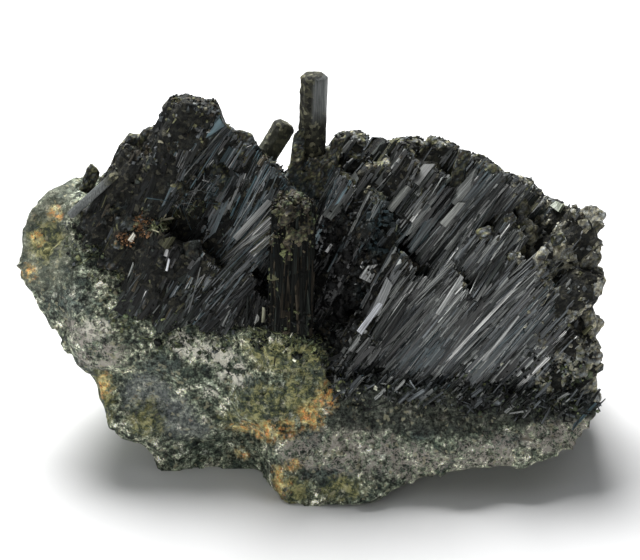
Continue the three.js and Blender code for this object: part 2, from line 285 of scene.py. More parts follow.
# Centres and reaches of the rock's markings.
PINKISH_PATCHES = [
    ((-35, -10, 23.5), (4, 6, 2)), ((-31.5, -11, 20.5), (3, 5, 2.5)), ((-34, -10, 19), (2.5, 5, 2.5)),
    ((5, -19, 8.5), (7, 5, 3.5)), ((14, -19, 6.5), (7, 5, 3)), ((24, -18, 7.5), (7, 5, 3)),
    ((34, -16, 9.5), (5, 5, 2.5)), ((-3, -20, 8), (3, 4, 3)), ((39, -14, 9), (4, 5, 3)),
]
CREAM_PATCHES = [
    ((-18.5, -11, 21.5), (3, 5, 1.5)), ((-15, -12, 20), (3, 5, 1.5)), ((-12.5, -12, 18), (2.5, 5, 1.8)),
    ((-20.5, -11, 22.5), (2, 5, 1.2)), ((-16.5, -12, 14), (1.5, 5, 1)), ((-33, -10, 24.5), (2.5, 5, 1.5)),
]
RUST_SPOTS = [
    ((1, -17, 16), (1.8, 4, 2.2)), ((-1.5, -17.5, 13), (2.2, 5, 2)), ((-6, -16, 11), (3, 5, 1.6)),
    ((-9.5, -15, 9.5), (2.5, 5, 1.6)), ((-12, -13, 8), (2, 5, 1.2)), ((-12, -12, 3), (1.2, 4, 1.2)),
    ((-6, -20, 3), (1.6, 4, 2.6)), ((-4, -21, 6), (1.5, 4, 1.2)), ((-42.3, -1, 34.5), (1.3, 4, 1)),
    ((-39.6, 0, 38), (1.2, 4, 1)), ((-32.4, -10, 14), (1.2, 5, 2.5)), ((-43.5, -2, 30), (1.5, 4, 1.2)),
]
BLOOM_SPOTS = [
    ((-2, -16, 23), (4, 6, 3.5)), ((-7, -15, 22.5), (5, 6, 3)), ((1, -17, 19), (3, 5, 3.5)),
    ((-3, -18, 16), (4, 5, 4)), ((-8, -15, 14), (5, 5, 4)), ((-41, -1, 34), (3, 5, 3)),
    ((-5, -21, 2), (3.5, 4, 2.5)), ((3, -20, 3), (4, 4, 2)), ((-26, -11, 9), (3, 4, 3)),
    ((-33, -10, 12), (2, 4, 5)), ((-13, -11, 10), (3, 4, 2)),
]
SLATE_PATCHES = [((-26, -11, 13), (4, 5, 4)), ((-22, -11, 10), (4, 5, 4)), ((-19, -11, 8), (3, 5, 2.5))]
DARK_PATCHES = [
    ((-5, -15, 11), (2, 4, 2)), ((1.5, -20, 5), (4, 4, 1.6)), ((-35.5, -8, 17), (1.6, 5, 2)),
    ((-10, -14, 17), (2.5, 4, 2)), ((-1, -18, 10), (1.8, 4, 1.8)), ((15, -18, 11), (2.5, 4, 1.2)),
    ((28, -17, 9), (2.5, 4, 1.2)), ((-24, -11, 19), (4, 4, 2)), ((-36, -6, 27), (5, 5, 3)),
]

rock = fine_copy("host_rock", "host_rock_surface", ROCK_CELL)
bare_points = points_of(rock.data)
above_table = np.clip((bare_points[:, 2] - 0.05) / 1.5, 0, 1)
rock_height = roughness_at(bare_points, ROCK_BREAKS) + CHIP_HEIGHT * chips(bare_points, CHIP_SPACING, 2)
rock_points = raise_by(rock, rock_height * above_table)
ROCK_MARKS = {"pinkish": PINKISH_PATCHES, "cream": CREAM_PATCHES, "rust": RUST_SPOTS, "bloom": BLOOM_SPOTS,
              "slate": SLATE_PATCHES, "dark": DARK_PATCHES}
for mark, spots in ROCK_MARKS.items():
    paint(rock, mark, near(rock_points, spots))
paint(rock, "lobe", between(rock_points[:, 0], -60, -37, 4) * between(rock_points[:, 2], 28, 60, 5))
in_front = between(rock_points[:, 1], -60, 0, 4)
paint(rock, "rim", between(rock_points[:, 0], 1, 60, 3) * between(rock_points[:, 2], 11.0, 60, 2) * in_front)

DEEP_GREEN, GREY_GREEN, OFF_WHITE = (0.016, 0.026, 0.022), (0.16, 0.182, 0.133), (0.8, 0.78, 0.69)


def rock_finish():
    f = Finish("mottled grey-green rock")
    mm = f.place()
    grainy = f.noise(mm, 0.5, detail=5, rough=0.82, distortion=0.1)
    body = f.ramp(grainy, [
        (0.38, DEEP_GREEN), (0.46, (0.055, 0.07, 0.05)), (0.52, GREY_GREEN), (0.57, (0.3, 0.32, 0.24)),
        (0.63, OFF_WHITE),
    ])
    flecks = f.ramp(f.noise(mm, 1.6, detail=3, rough=0.8), [(0.39, 0.2), (0.5, 1.0), (0.61, 2.8)])
    body = f.mix(1.0, body, flecks, "MULTIPLY")
    broad = f.ramp(f.noise(mm, 0.16, detail=4), [
        (0.35, (0.62, 0.68, 0.66)), (0.5, (1, 1, 0.96)), (0.66, (1.3, 1.27, 1.2)),
    ])
    body = f.mix(1.0, body, broad, "MULTIPLY")
    wander = f.noise(f.bent(mm, 1.0, 1.0), 0.7, detail=4, rough=0.75)

    def where(mark, share):
        """How much of a marking shows: up to the share given, with an edge that wanders."""
        ragged = f.sum("SUBTRACT", f.sum("ADD", f.stored(mark), f.sum("MULTIPLY", wander, 1.6)), 1.0)
        return f.sum("MULTIPLY", f.ramp(ragged, [(0.0, 0.0), (0.55, 1.0)]), share)

    smooth = f.noise(mm, 1.6, detail=4, rough=0.7)
    slate = f.ramp(smooth, [(0.38, (0.065, 0.08, 0.08)), (0.62, (0.28, 0.3, 0.295))])
    body = f.mix(where("slate", 0.7), body, slate)
    pale_green = f.ramp(grainy, [(0.38, (0.045, 0.058, 0.042)), (0.6, (0.22, 0.23, 0.17))])
    body = f.mix(where("lobe", 0.75), body, pale_green)
    body = f.mix(where("dark", 0.75), body, f.mix(1.0, (0.04, 0.055, 0.05), flecks, "MULTIPLY"))
    olive = f.ramp(f.noise(mm, 0.6, detail=5, rough=0.8, distortion=0.4), [
        (0.42, (0.01, 0.018, 0.013)), (0.47, (0.05, 0.066, 0.03)), (0.52, (0.18, 0.187, 0.062)),
        (0.58, (0.5, 0.47, 0.2)),
    ])
    body = f.mix(where("bloom", 0.8), body, olive)
    middle = f.sum("SUBTRACT", f.noise(mm, 0.8, detail=3, distortion=1.2), 0.5)
    threads = f.node("Math", {0: middle}, operation="ABSOLUTE")
    network = f.ramp(threads.outputs[0], [(0.0, 1.0), (0.02, 0.8), (0.04, 0.0)])
    blots = f.ramp(f.noise(mm, 0.7, detail=5, rough=0.8, distortion=0.8), [(0.53, 0.0), (0.57, 0.9)])
    body = f.mix(where("pinkish", f.sum("MAXIMUM", network, blots)), body, (0.45, 0.41, 0.36))
    clumps = f.ramp(f.noise(mm, 0.9, detail=4, rough=0.75, distortion=0.6), [(0.49, 0.0), (0.53, 1.0)])
    body = f.mix(where("cream", clumps), body, (0.93, 0.9, 0.78))
    body = f.mix(where("rim", 0.85), body, f.mix(1.0, (0.022, 0.026, 0.02), flecks, "MULTIPLY"))
    rusty = f.ramp(f.noise(mm, 0.9, detail=5, rough=0.8), [(0.43, 0.0), (0.56, 0.85)])
    ochre = f.ramp(f.noise(mm, 1.2, detail=3), [
        (0.4, (0.85, 0.38, 0.11)), (0.5, (0.75, 0.52, 0.16)), (0.6, (0.9, 0.8, 0.4)),
    ])
    body = f.mix(where("rust", rusty), body, f.mix(0.3, ochre, flecks, "MULTIPLY"))
    pale_grain = f.ramp(f.grain(f.bent(mm, 1.6, 0.5), 2.2), [(0.95, 0.0), (0.97, 0.6)])
    body = f.mix(pale_grain, body, (0.42, 0.4, 0.26))
    f.put(f.shader.inputs["Base Color"], body)
    f.put(f.shader.inputs["Roughness"], f.ramp(flecks, [(0.3, 0.9), (1.0, 0.7)]))
    coarse = f.bump(f.noise(mm, 1.2, detail=6, rough=0.75), 0.35)
    f.put(f.shader.inputs["Normal"], f.bump(grainy, 0.25, under=coarse))
    return f.material


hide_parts("host_rock")
dress(rock, rock_finish())

# ---- Intergrown crystals ------------------------------------------------------------------------
# The mass of aegirine, grown up out of the rock side by side: dark, leaning to the right, and etched
# to a dull granular skin where it has weathered. It is what the visible crystals lie on.

MASS_CELL = 0.72  # size of its mesh's faces
MASS_BREAKS = [(2.6, 0.2), (1.1, 0.2), (0.6, 0.15)]  # spacing and height of its lumps
CRUST_BREAKS = [(2.2, 0.45), (1.2, 0.4), (0.7, 0.3)]  # the lumpier crust of the left peak
SKYLINE = np.array([  # x, and how high the tops of the crystals stand there
    (-37, 43.5), (-34, 46), (-33, 43.5),  # beside the left blade
    (-32, 44), (-30, 48), (-29, 50), (-28, 50.5), (-25.5, 51),  # left tier
    (-22, 56), (-20, 57), (-18.5, 56.5), (-15, 55.5), (-14.5, 54),  # left peak
    (-14, 51.5), (-12.5, 51), (-10, 51), (-9, 48), (-4.5, 45),  # fibrous slab
    (-4, 49), (-3.5, 52), (-2.5, 52.5), (-2, 50), (1, 48.5),  # foot of the upright prism
    (2.5, 50.5), (6, 51), (8, 50), (9, 49.5), (12, 49.5), (15, 50.5), (18, 50), (22, 48), (24.5, 47),  # crest
    (27.5, 44), (30.5, 43.5), (32.5, 43), (33, 41), (34.5, 41), (35, 39.5), (42, 38.5),  # right-hand end
]).T
SKY_FALL = 0.43  # how much lower they stand for each millimetre further back


def under_skyline(points):
    """Points held inside the box and under the line along which the tops of the crystals broke off."""
    points = inside_box(points)
    tops = np.interp(points[:, 0], *SKYLINE) - SKY_FALL * (points[:, 1] - 1)
    tops += 0.5 * lumps(points, 1.4, seed=45) + 0.35 * lumps(points, 0.6, seed=46)
    over = points[:, 2] - tops
    points[:, 2] -= 0.9 * np.clip(over, 0, None)  # a tenth stays, so that the tops aren't cut flat
    return points


def lean(x):
    """Direction in which crystals near x point."""
    share = np.clip((x + 23) / 75, 0, 1)
    way = np.stack([0.66 + 0.42 * share**2, np.full_like(share, 0.28), np.ones_like(share)], axis=-1)
    return way / np.linalg.norm(way, axis=-1, keepdims=True)


def along_lean(points):
    """Coordinates that run across, through and along the prisms."""
    way = lean(points[:, 0])
    across = np.cross(way, [0, 1, 0])
    through = np.cross(way, across)
    return np.stack([(points * across).sum(1), (points * through).sum(1), (points * way).sum(1)], axis=1)


def crusted(points):
    """1 on the left peak and the broken right-hand end, where a granular crust hides the crystals."""
    return np.maximum(between(points[:, 0], -60, -15, 5) * between(points[:, 2], 27, 60, 5),
                      between(points[:, 0], 33, 60, 4))


mass = fine_copy("crystal_mass", "crystal_mass_core", MASS_CELL)
core_points = points_of(mass.data)
crust_share = crusted(core_points)
mass_points = raise_by(mass, roughness_at(core_points, MASS_BREAKS) * (1 - crust_share)
                       + (roughness_at(core_points, CRUST_BREAKS) + 0.15) * crust_share, hold=under_skyline)
paint(mass, "lie", along_lean(mass_points))


def core_finish():
    f = Finish("etched aegirine")
    mm = f.place()
    streak = f.noise(f.scaled(f.stored("lie", "Vector"), (2.4, 2.4, 0.18)), 1.0, detail=5, rough=0.7)
    dark = f.ramp(streak, [
        (0.3, (0.005, 0.005, 0.005)), (0.55, (0.02, 0.022, 0.021)), (0.75, (0.06, 0.064, 0.06)),
    ])
    speck = f.ramp(f.grain(f.bent(mm, 1.5, 0.6), 1.9), [
        (0.0, (0.005, 0.005, 0.005)), (0.6, (0.022, 0.022, 0.017)), (0.85, (0.06, 0.056, 0.038)),
        (1.0, (0.18, 0.17, 0.12)),
    ])
    f.put(f.shader.inputs["Base Color"], f.mix(0.5, dark, speck))
    f.put(f.shader.inputs["Roughness"], f.ramp(streak, [(0.3, 0.75), (0.8, 0.5)]))
    f.shader.inputs["Specular IOR Level"].default_value = 0.2
    lined = f.bump(streak, 0.4)
    f.put(f.shader.inputs["Normal"], f.bump(f.noise(mm, 1.6, detail=5, rough=0.7), 0.3, under=lined))
    return f.material


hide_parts("crystal_mass")
dress(mass, core_finish())

# ---- Fan of blades ------------------------------------------------------------------------------
# The right-hand front: long slender laths of aegirine, packed side by side and nearly parallel, with
# glossy striated faces. They lie along the bundles that they grew in and break off at uneven lengths.

LONGEST = 30.0  # no blade runs further than this inside the mass


class Surface:
    """A frame solid's faces, with the direction in which the crystals on each face grew."""

    def __init__(self, node, grown=None):
        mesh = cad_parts[node].data
        mesh.calc_loop_triangles()
        self.points = points_of(mesh)
        self.faces = np.array([t.vertices for t in mesh.loop_triangles])
        self.tree = BVHTree.FromPolygons([Vector(p) for p in self.points], self.faces.tolist())
        a, b, c = (self.points[self.faces[:, k]] for k in range(3))
        normal = np.cross(b - a, c - a)
        self.area = np.linalg.norm(normal, axis=1) / 2
        self.normal = normal / np.maximum(2 * self.area, 1e-9)[:, None]
        self.middle = (a + b + c) / 3
        self.grain = self.grain_of((b - a, c - b, a - c))
        if grown is not None:
            self.grain[:] = np.array(grown) / np.linalg.norm(grown)
        self.is_side = np.abs((self.normal * self.grain).sum(1)) < 0.5

    def grain_of(self, edges):
        """Each face's growth direction: its edge that lies nearest the lean, or the lean itself."""
        way = lean(self.middle[:, 0])
        best = np.zeros(len(way))
        chosen = way.copy()
        for edge in edges:
            length = np.maximum(np.linalg.norm(edge, axis=1, keepdims=True), 1e-9)
            fit = (edge / length * way).sum(1)
            better = (np.abs(fit) > 0.93) & (length[:, 0] > 1.5) & (np.abs(fit) > best)
            chosen[better] = (edge / length * np.sign(fit)[:, None])[better]
            best[better] = np.abs(fit)[better]
        return chosen

    def scatter(self, random, per_mm2, zone, faces=None):
        """Random places on all or some faces, kept as often as the zone says: their faces and points."""
        faces = np.arange(len(self.faces)) if faces is None else faces
        chosen = np.repeat(faces, random.poisson(self.area[faces] * per_mm2))
        a, b = random.random((2, len(chosen), 1))
        flip = a + b > 1
        a, b = np.where(flip, 1 - a, a), np.where(flip, 1 - b, b)
        corner = self.points[self.faces[chosen]]
        at = corner[:, 0] + a * (corner[:, 1] - corner[:, 0]) + b * (corner[:, 2] - corner[:, 0])
        kept = random.random(len(at)) < zone(at) * (1 - 0.6 * between(at[:, 1], 9, 60, 4))
        chosen, at = chosen[kept], at[kept]
        kept = self.is_open(at, self.normal[chosen])
        return chosen[kept], at[kept]

    def is_open(self, at, normals):
        """True where a place isn't shut in by the wall of a narrow groove."""
        hits = (self.tree.ray_cast(Vector(p + 0.05 * n), Vector(n), 0.9)[0] for p, n in zip(at, normals))
        return np.array([hit is None for hit in hits], bool)

    def reach(self, points, ways):
        """How far one can go from each point along its way inside the solid, up to the longest blade."""
        out = np.zeros(len(points))
        for k, (p, w) in enumerate(zip(points, ways)):
            place, normal, _, distance = self.tree.ray_cast(Vector(p), Vector(w), LONGEST)
            if place is not None and normal.dot(Vector(w)) > 0:
                out[k] = distance
        return out


def unit(vectors):
    """The same directions with a length of 1."""
    return vectors / np.maximum(np.linalg.norm(vectors, axis=1, keepdims=True), 1e-9)


def turned(vectors, toward, angle):
    """Vectors turned by angles towards others that are square to them."""
    return vectors * np.cos(angle)[:, None] + toward * np.sin(angle)[:, None]


def tint_all(piece, colours):
    """Stores one colour for each vertex."""
    colours = np.concatenate([colours, np.ones((len(colours), 1))], axis=1).astype(np.float32)
    piece.data.attributes.new("tint", "FLOAT_COLOR", "POINT").data.foreach_set("color", colours.ravel())


LATH = np.array([(-0.5, -0.5), (0.5, -0.5), (0.5, 0.25), (0.4, 0.5), (-0.4, 0.5), (-0.5, 0.25)])
NEEDLE = np.array([(-0.5, -0.5), (0.5, -0.5), (0.45, 0.5), (-0.45, 0.5)])


def blades(name, section, root, tip, side, width, thick, tint, slope, narrow):
    """Flat-sided blades: each runs from root to tip, with its width along side and a slanted end."""
    count, ring = len(root), len(section)
    length = np.linalg.norm(tip - root, axis=1, keepdims=True)
    way = (tip - root) / length
    side = unit(side - (side * way).sum(1, keepdims=True) * way)
    up = np.cross(side, way)
    u = section[:, 0][None, :, None] * width[:, None, None]
    v = section[:, 1][None, :, None] * thick[:, None, None]
    lower = root[:, None] + u * side[:, None] + v * up[:, None]
    closer = narrow[:, None, None]
    upper = tip[:, None] + u * closer * side[:, None] + v * closer * up[:, None]
    upper = upper + way[:, None] * u * slope[:, None, None]
    points = under_skyline(np.concatenate([lower, upper], axis=1).reshape(-1, 3))
    start = np.arange(count)[:, None, None] * 2 * ring
    k = np.arange(ring)
    n = (k + 1) % ring
    quads = (start + np.stack([k, n, n + ring, k + ring], axis=1)[None]).reshape(-1, 4)
    caps = np.concatenate([(start[:, 0] + k[::-1]), (start[:, 0] + k + ring)])
    piece = mesh_of(name, points, [quads, caps])
    tint_all(piece, np.repeat(tint, 2 * ring, axis=0))
    ends = np.concatenate([np.zeros((count, ring)), np.broadcast_to(length, (count, ring))], axis=1)
    across = np.concatenate([u[:, :, 0], u[:, :, 0]], axis=1) + np.arange(count)[:, None] * 3.7
    deep = np.concatenate([v[:, :, 0], v[:, :, 0]], axis=1)
    paint(piece, "lie", np.stack([across, deep, ends], axis=2).reshape(-1, 3))
    return piece


# Colours of clean and weathered aegirine, from black to grey, with a near-white painted glint for blades that
# catch the light and a painted blue-green sheen for fibrous faces.
BLACK, GREEN_BLACK, SLATE = (0.007, 0.008, 0.007), (0.025, 0.03, 0.026), (0.09, 0.1, 0.105)
GREY, SILVER_GLINT, TEAL_SHEEN = (0.23, 0.24, 0.23), (0.65, 0.65, 0.63), (0.052, 0.088, 0.102)
OLIVE, BROWN, TAN = (0.11, 0.11, 0.058), (0.05, 0.042, 0.028), (0.32, 0.3, 0.21)

# Centres and reaches of the places where a painted blue-green sheen is laid on the fibres, and of the hollows
# where the crystals are darkened to black as painted shade.
PAINTED_SHEEN_PLACES = [
    ((-15.5, -1.5, 42.5), (3, 3, 1.6)), ((-6, -4, 45), (3.5, 3, 3)), ((-4, -4, 43), (3, 3, 2)),
    ((-10, -5, 34), (3, 3, 2)), ((11, -5, 35.5), (4, 4, 2.5)), ((13.5, -4, 37), (3, 4, 2)),
    ((23.5, -1.5, 44), (2.5, 4, 2.5)), ((9, -5, 40), (2.5, 4, 3)), ((-13, -5, 36), (3, 4, 3)),
    ((16, -12, 22), (5, 4, 2.5)), ((29, -12, 24), (4, 4, 3)),
]
PAINTED_SHADE_HOLLOWS = [
    ((1.5, -7, 33), (4.5, 6, 6.5)), ((2, -9, 27), (4, 6, 3.5)), ((-10.5, -9.5, 29), (3, 5, 3.5)),
    ((-17, -3.5, 37), (2, 4, 3)), ((-6, -3, 41), (2.5, 4, 2)), ((-22, -6, 35), (3, 5, 3)),
    ((18, -4, 40), (2, 4, 3)),
]


def tints(random, at, shares, spread=0.35, sheen=0.8):
    """A colour for each crystal: picked by shares, lighter and darker in patches, painted teal sheen in some
    places, painted shade in the hollows.
    """
    colours = np.array([c for c, _ in shares])
    weights = np.array([w for _, w in shares], float)
    picked = colours[random.choice(len(shares), len(at), p=weights / weights.sum())]
    brightness = np.exp(random.normal(0, spread, len(at)) + 0.45 * lumps(at, 4.5, seed=31))
    # painted sheen: crystals near the sheen places and in noisy patches are tinted teal
    teal = np.clip(near(at, PAINTED_SHEEN_PLACES) + 0.5 * lumps(at, 2.0, seed=32) - 0.3, 0, sheen)[:, None]
    # painted shade: crystals near the hollows are darkened towards black
    hollow = np.clip(near(at, PAINTED_SHADE_HOLLOWS) * 1.6 + 0.3 * lumps(at, 1.6, seed=33) - 0.2, 0, 0.93)[:, None]
    return (picked * brightness[:, None] * (1 - teal) + np.array(TEAL_SHEEN) * teal) * (1 - hollow)


def blade_finish(name, rough, gloss):
    f = Finish(name)
    lie = f.scaled(f.stored("lie", "Vector"), (4.0, 4.0, 0.14))
    streak = f.noise(lie, 1.0, detail=3, rough=0.65)
    shade = f.ramp(streak, [(0.34, 0.25), (0.5, 0.9), (0.68, 2.0)])
    f.put(f.shader.inputs["Base Color"], f.mix(1.0, f.stored("tint", "Color"), shade, "MULTIPLY"))
    f.put(f.shader.inputs["Roughness"], f.ramp(streak, [(0.3, rough + 0.22), (0.7, rough)]))
    f.shader.inputs["IOR"].default_value = 1.7
    f.shader.inputs["Specular IOR Level"].default_value = gloss
    f.put(f.shader.inputs["Normal"], f.bump(streak, 0.08))
    return f.material


clean_blades = blade_finish("clean striated aegirine", 0.3, 0.5)
dull_blades = blade_finish("dull weathered aegirine", 0.55, 0.25)
etched_blades = blade_finish("etched black aegirine", 0.7, 0.08)


def lay_blades(name, seed, surface, zone, per_mm2, section, width, length, shares,
               material=clean_blades, proud=0.15, stray=0.04, roll=0.35):
    """Blades laid along side faces. Width and length are each a middle value and a spread."""
    random = np.random.default_rng(seed)
    chosen, at = surface.scatter(random, per_mm2, zone, np.where(surface.is_side)[0])
    count = len(chosen)
    way = surface.grain[chosen]
    side = unit(np.cross(surface.normal[chosen], way))
    normal = np.cross(way, side)
    way = turned(way, side, random.normal(0, stray, count))
    way = turned(way, normal, random.normal(0, stray * 0.6, count))
    side = turned(side, normal, random.normal(0, roll, count))
    wide = width[0] * np.exp(random.normal(0, width[1], count))
    thick = np.minimum(wide * random.uniform(0.3, 0.7, count), 0.6)
    long = length[0] * np.exp(random.normal(0, length[1], count))
    inner = at - normal * 0.4
    ahead = surface.reach(inner, way)
    behind = surface.reach(inner, -way)
    fore = np.minimum(long * random.uniform(0.2, 0.8, count), ahead + random.uniform(-0.5, 0.4, count))
    back = np.minimum(long - np.minimum(fore, long * 0.8), behind + 0.2)
    lift = random.uniform(-0.3, proud, count) - thick * 0.3
    middle = at + normal * lift[:, None]
    kept = (fore + back > 1.0) & (ahead > 0) & (behind > 0)
    tip, root = (middle + way * fore[:, None])[kept], (middle - way * back[:, None])[kept]
    piece = blades(name, section, root, tip, side[kept], wide[kept], thick[kept],
                   tints(random, at[kept], shares), random.normal(0, 0.6, len(tip)),
                   random.uniform(0.75, 1.0, len(tip)))
    dress(piece, material)


def in_hollow(p):
    """1 in the dark hollow between the column and the fan."""
    return between(p[:, 0] - 0.4 * (p[:, 2] - 30), -5, 7.5, 3) * between(p[:, 2], 17, 41, 3)


def fan_zone(p):
    """The right-hand front, and little of the hollow."""
    return between(p[:, 0], 2, 36, 4) * between(p[:, 1], -60, 3) * (1 - 0.75 * in_hollow(p))


mass_surface = Surface("crystal_mass")
FAN_SHARES = [(GREY, 5.5), (SLATE, 4), (GREEN_BLACK, 3), (BLACK, 5), (SILVER_GLINT, 0.4)]
lay_blades("fan_blades", 3, mass_surface, fan_zone, 1.0, NEEDLE, (0.3, 0.5), (6.0, 0.5), FAN_SHARES, roll=0.4)

SHEET_STEP = 0.5  # spacing of the places where the front's depth is taken
GROOVE = 2.0  # grooves up to twice this width are bridged by the fan's outer blades


class FrontSheet:
    """The front of the mass as a sheet: its depth over x and z, with the narrow grooves closed."""

    def __init__(self, surface, low, high):
        self.low, self.right_edge = np.array(low, float), high[0]
        shape = ((np.array(high) - self.low) / SHEET_STEP).astype(int)
        self.depth = np.full(shape, np.inf)
        for i, k in np.ndindex(*shape):
            x, z = self.low + np.array((i, k)) * SHEET_STEP
            place = surface.tree.ray_cast(Vector((x, -60, z)), Vector((0, 1, 0)))[0]
            if place is not None:
                self.depth[i, k] = place.y
        self.depth = self.spread(self.spread(self.depth, np.minimum), np.maximum)
        self.slope = np.gradient(np.where(np.isfinite(self.depth), self.depth, 20.0), SHEET_STEP)

    def spread(self, depth, choose):
        """Each place takes the least or greatest depth within a groove's half width."""
        cells = int(GROOVE / SHEET_STEP)
        padded = np.pad(depth, cells, mode="edge")
        out = depth.copy()
        for i, k in np.ndindex(2 * cells + 1, 2 * cells + 1):
            if (i - cells) ** 2 + (k - cells) ** 2 <= cells**2:
                out = choose(out, padded[i:i + depth.shape[0], k:k + depth.shape[1]])
        return out

    def cell(self, x, z):
        index = np.round((np.stack([x, z], 1) - self.low) / SHEET_STEP).astype(int)
        index = np.clip(index, 0, np.array(self.depth.shape) - 1)
        return index[:, 0], index[:, 1]

    def points(self, x, z):
        return np.stack([x, self.depth[self.cell(x, z)], z], axis=1)

    def scatter(self, random, per_mm2, zone, faces=None):
        """Random places on the sheet, which has no faces to choose from. Their normals are kept in order."""
        span = np.array(self.depth.shape) * SHEET_STEP
        x, z = self.low[:, None] + random.random((2, int(span.prod() * per_mm2))) * span[:, None]
        at = self.points(x, z)
        at = at[np.isfinite(at[:, 1])]
        at = at[random.random(len(at)) < zone(at)]
        self.normal = self.normals(at[:, 0], at[:, 2])
        return np.arange(len(at)), at

    def normals(self, x, z):
        at = self.cell(x, z)
        return unit(np.stack([self.slope[0][at], -np.ones(len(x)), self.slope[1][at]], axis=1))


def outer_fan_blades(name, seed, sheet, zone, per_mm2, section, width, length, shares, stray):
    """Long blades that lie as chords over the front sheet."""
    random = np.random.default_rng(seed)
    span = np.array(sheet.depth.shape) * SHEET_STEP
    count = int(span.prod() * per_mm2)
    x, z = sheet.low[:, None] + random.random((2, count)) * span[:, None]
    at = sheet.points(x, z)
    kept = np.isfinite(at[:, 1])
    kept &= random.random(count) < zone(np.nan_to_num(at, posinf=99.0))
    at = at[kept]
    count = len(at)
    normal = sheet.normals(at[:, 0], at[:, 2])
    way = lean(at[:, 0])
    side = unit(np.cross(normal, way))
    way = turned(way, side, random.normal(0, stray, count))
    long = length[0] * np.exp(random.normal(0, length[1], count))
    fore = long * random.uniform(0.2, 0.8, count)
    tip = sheet.points(*(at + way * fore[:, None])[:, [0, 2]].T)
    root = sheet.points(*(at - way * (long - fore)[:, None])[:, [0, 2]].T)
    kept = np.isfinite(tip[:, 1]) & np.isfinite(root[:, 1]) & (tip[:, 0] < sheet.right_edge - 3)
    kept &= np.abs(tip[:, 1] - root[:, 1] - way[:, 1] * long) < 2.5  # not across a deep step
    tip, root, at, side, normal = (each[kept] for each in (tip, root, at, side, normal))
    count = len(at)
    lift = random.uniform(-0.3, 0.5, (count, 1))
    side = turned(side, normal, random.normal(0, 0.45, count))
    wide = width[0] * np.exp(random.normal(0, width[1], count))
    piece = blades(name, section, root - normal * lift, tip - normal * lift, side, wide,
                   np.minimum(wide * random.uniform(0.3, 0.7, count), 0.6), tints(random, at, shares),
                   random.normal(0, 0.6, count), random.uniform(0.6, 1, count))
    dress(piece, clean_blades)


def outer_fan_zone(p):
    """Right of a line that leans like the blades, below the crest and short of the broken right-hand end."""
    past_edge = p[:, 0] - 4 - 0.4 * (p[:, 2] - 15)
    return np.clip(past_edge / 4, 0, 1) * between(p[:, 0] + 2.5 * between(p[:, 2], 25, 60, 6), 0, 33, 4)


front_sheet = FrontSheet(mass_surface, (-4, 9), (43, 52))
outer_fan_blades("outer_fan_blades", 14, front_sheet, outer_fan_zone, 21.0, NEEDLE, (0.19, 0.5), (6.0, 0.55),
                 FAN_SHARES, 0.045)

# ---- Fibrous slab -------------------------------------------------------------------------------
# Left of the column the blades are as fine as fibres and lie in broad leaning slabs. A blue-green sheen is
# painted into their colour in patches.


def slab_zone(p):
    return between(p[:, 0], -20, 3, 4) * between(p[:, 1], -60, 3) * between(p[:, 2], 26, 60, 4)


lay_blades("slab_fibres", 8, mass_surface, slab_zone, 4.7, NEEDLE, (0.17, 0.45), (7.0, 0.5),
           [(SLATE, 6), (TEAL_SHEEN, 5), (GREEN_BLACK, 4), (BLACK, 5), (GREY, 2), (SILVER_GLINT, 0.4)],
           proud=0.1, stray=0.07)

# ---- Left-hand crystals -------------------------------------------------------------------------
# The left peak and the tiers below it are stout prisms of aegirine, dull and dark. Fine needles grew
# between them and on the lower part of the mass.


def left_zone(p):
    return between(p[:, 0], -60, -15, 5) * between(p[:, 1], -60, 8)


def lower_zone(p):
    return between(p[:, 0], -60, -2, 4) * between(p[:, 1], -60, 3) * between(p[:, 2], 0, 30, 4)


lay_blades("left_blades", 4, mass_surface, left_zone, 0.7, LATH, (0.7, 0.5), (4.0, 0.5),
           [(BLACK, 8), (GREEN_BLACK, 4), (BROWN, 2), (SLATE, 0.5), (OLIVE, 0.3)],
           dull_blades, proud=0.05, stray=0.08)
lay_blades("lower_needles", 9, mass_surface, lower_zone, 2.6, NEEDLE, (0.26, 0.45), (5.0, 0.5),
           [(BLACK, 6), (GREEN_BLACK, 3), (SLATE, 2), (GREY, 0.4), (SILVER_GLINT, 0.1)],
           dull_blades, stray=0.14, proud=0.3)

# ---- Back of the mass ---------------------------------------------------------------------------
# Behind the crest the same aegirine falls away to the rock in coarser, more weathered blades that lie
# flat along the mass.


def back_zone(p):
    return between(p[:, 1], 3, 60)


lay_blades("back_blades", 5, mass_surface, back_zone, 1.0, NEEDLE, (0.85, 0.5), (7.0, 0.5),
           [(SLATE, 5), (GREEN_BLACK, 4), (BLACK, 3), (OLIVE, 2), (GREY, 1)], dull_blades)

# ---- Broken ends and granular crust -------------------------------------------------------------
# Where bundles have snapped across, the stubs of their crystals stand at uneven heights, crumbled and
# dulled to olive and brown. The same crumbs cover the left peak and the right-hand end.


def stand_stubs(name, seed, surface, zone, per_mm2, width, shares):
    """Short stubs that stand on end faces, pointing the way the crystals there grew."""
    random = np.random.default_rng(seed)
    chosen, at = surface.scatter(random, per_mm2, zone, np.where(~surface.is_side)[0])
    count = len(chosen)
    way = surface.grain[chosen] * np.sign((surface.grain[chosen] * surface.normal[chosen]).sum(1))[:, None]
    way = unit(way + random.normal(0, 0.12, (count, 3)))
    side = unit(np.cross(way, random.normal(0, 1, (count, 3))))
    wide = width * np.exp(random.normal(0, 0.4, count))
    tip = at + way * random.uniform(-0.3, 0.55, count)[:, None]
    piece = blades(name, NEEDLE, at - way * 1.2, tip, side, wide, wide * random.uniform(0.5, 1, count),
                   tints(random, at, shares), random.normal(0, 0.6, count), random.uniform(0.6, 1, count))
    dress(piece, dull_blades)


def everywhere(p):
    return np.ones(len(p))


stand_stubs("broken_ends", 6, mass_surface, everywhere, 0.9, 0.5,
            [(SLATE, 3), (GREEN_BLACK, 3), (BLACK, 4), (OLIVE, 4), (BROWN, 3), (TAN, 0.4)])

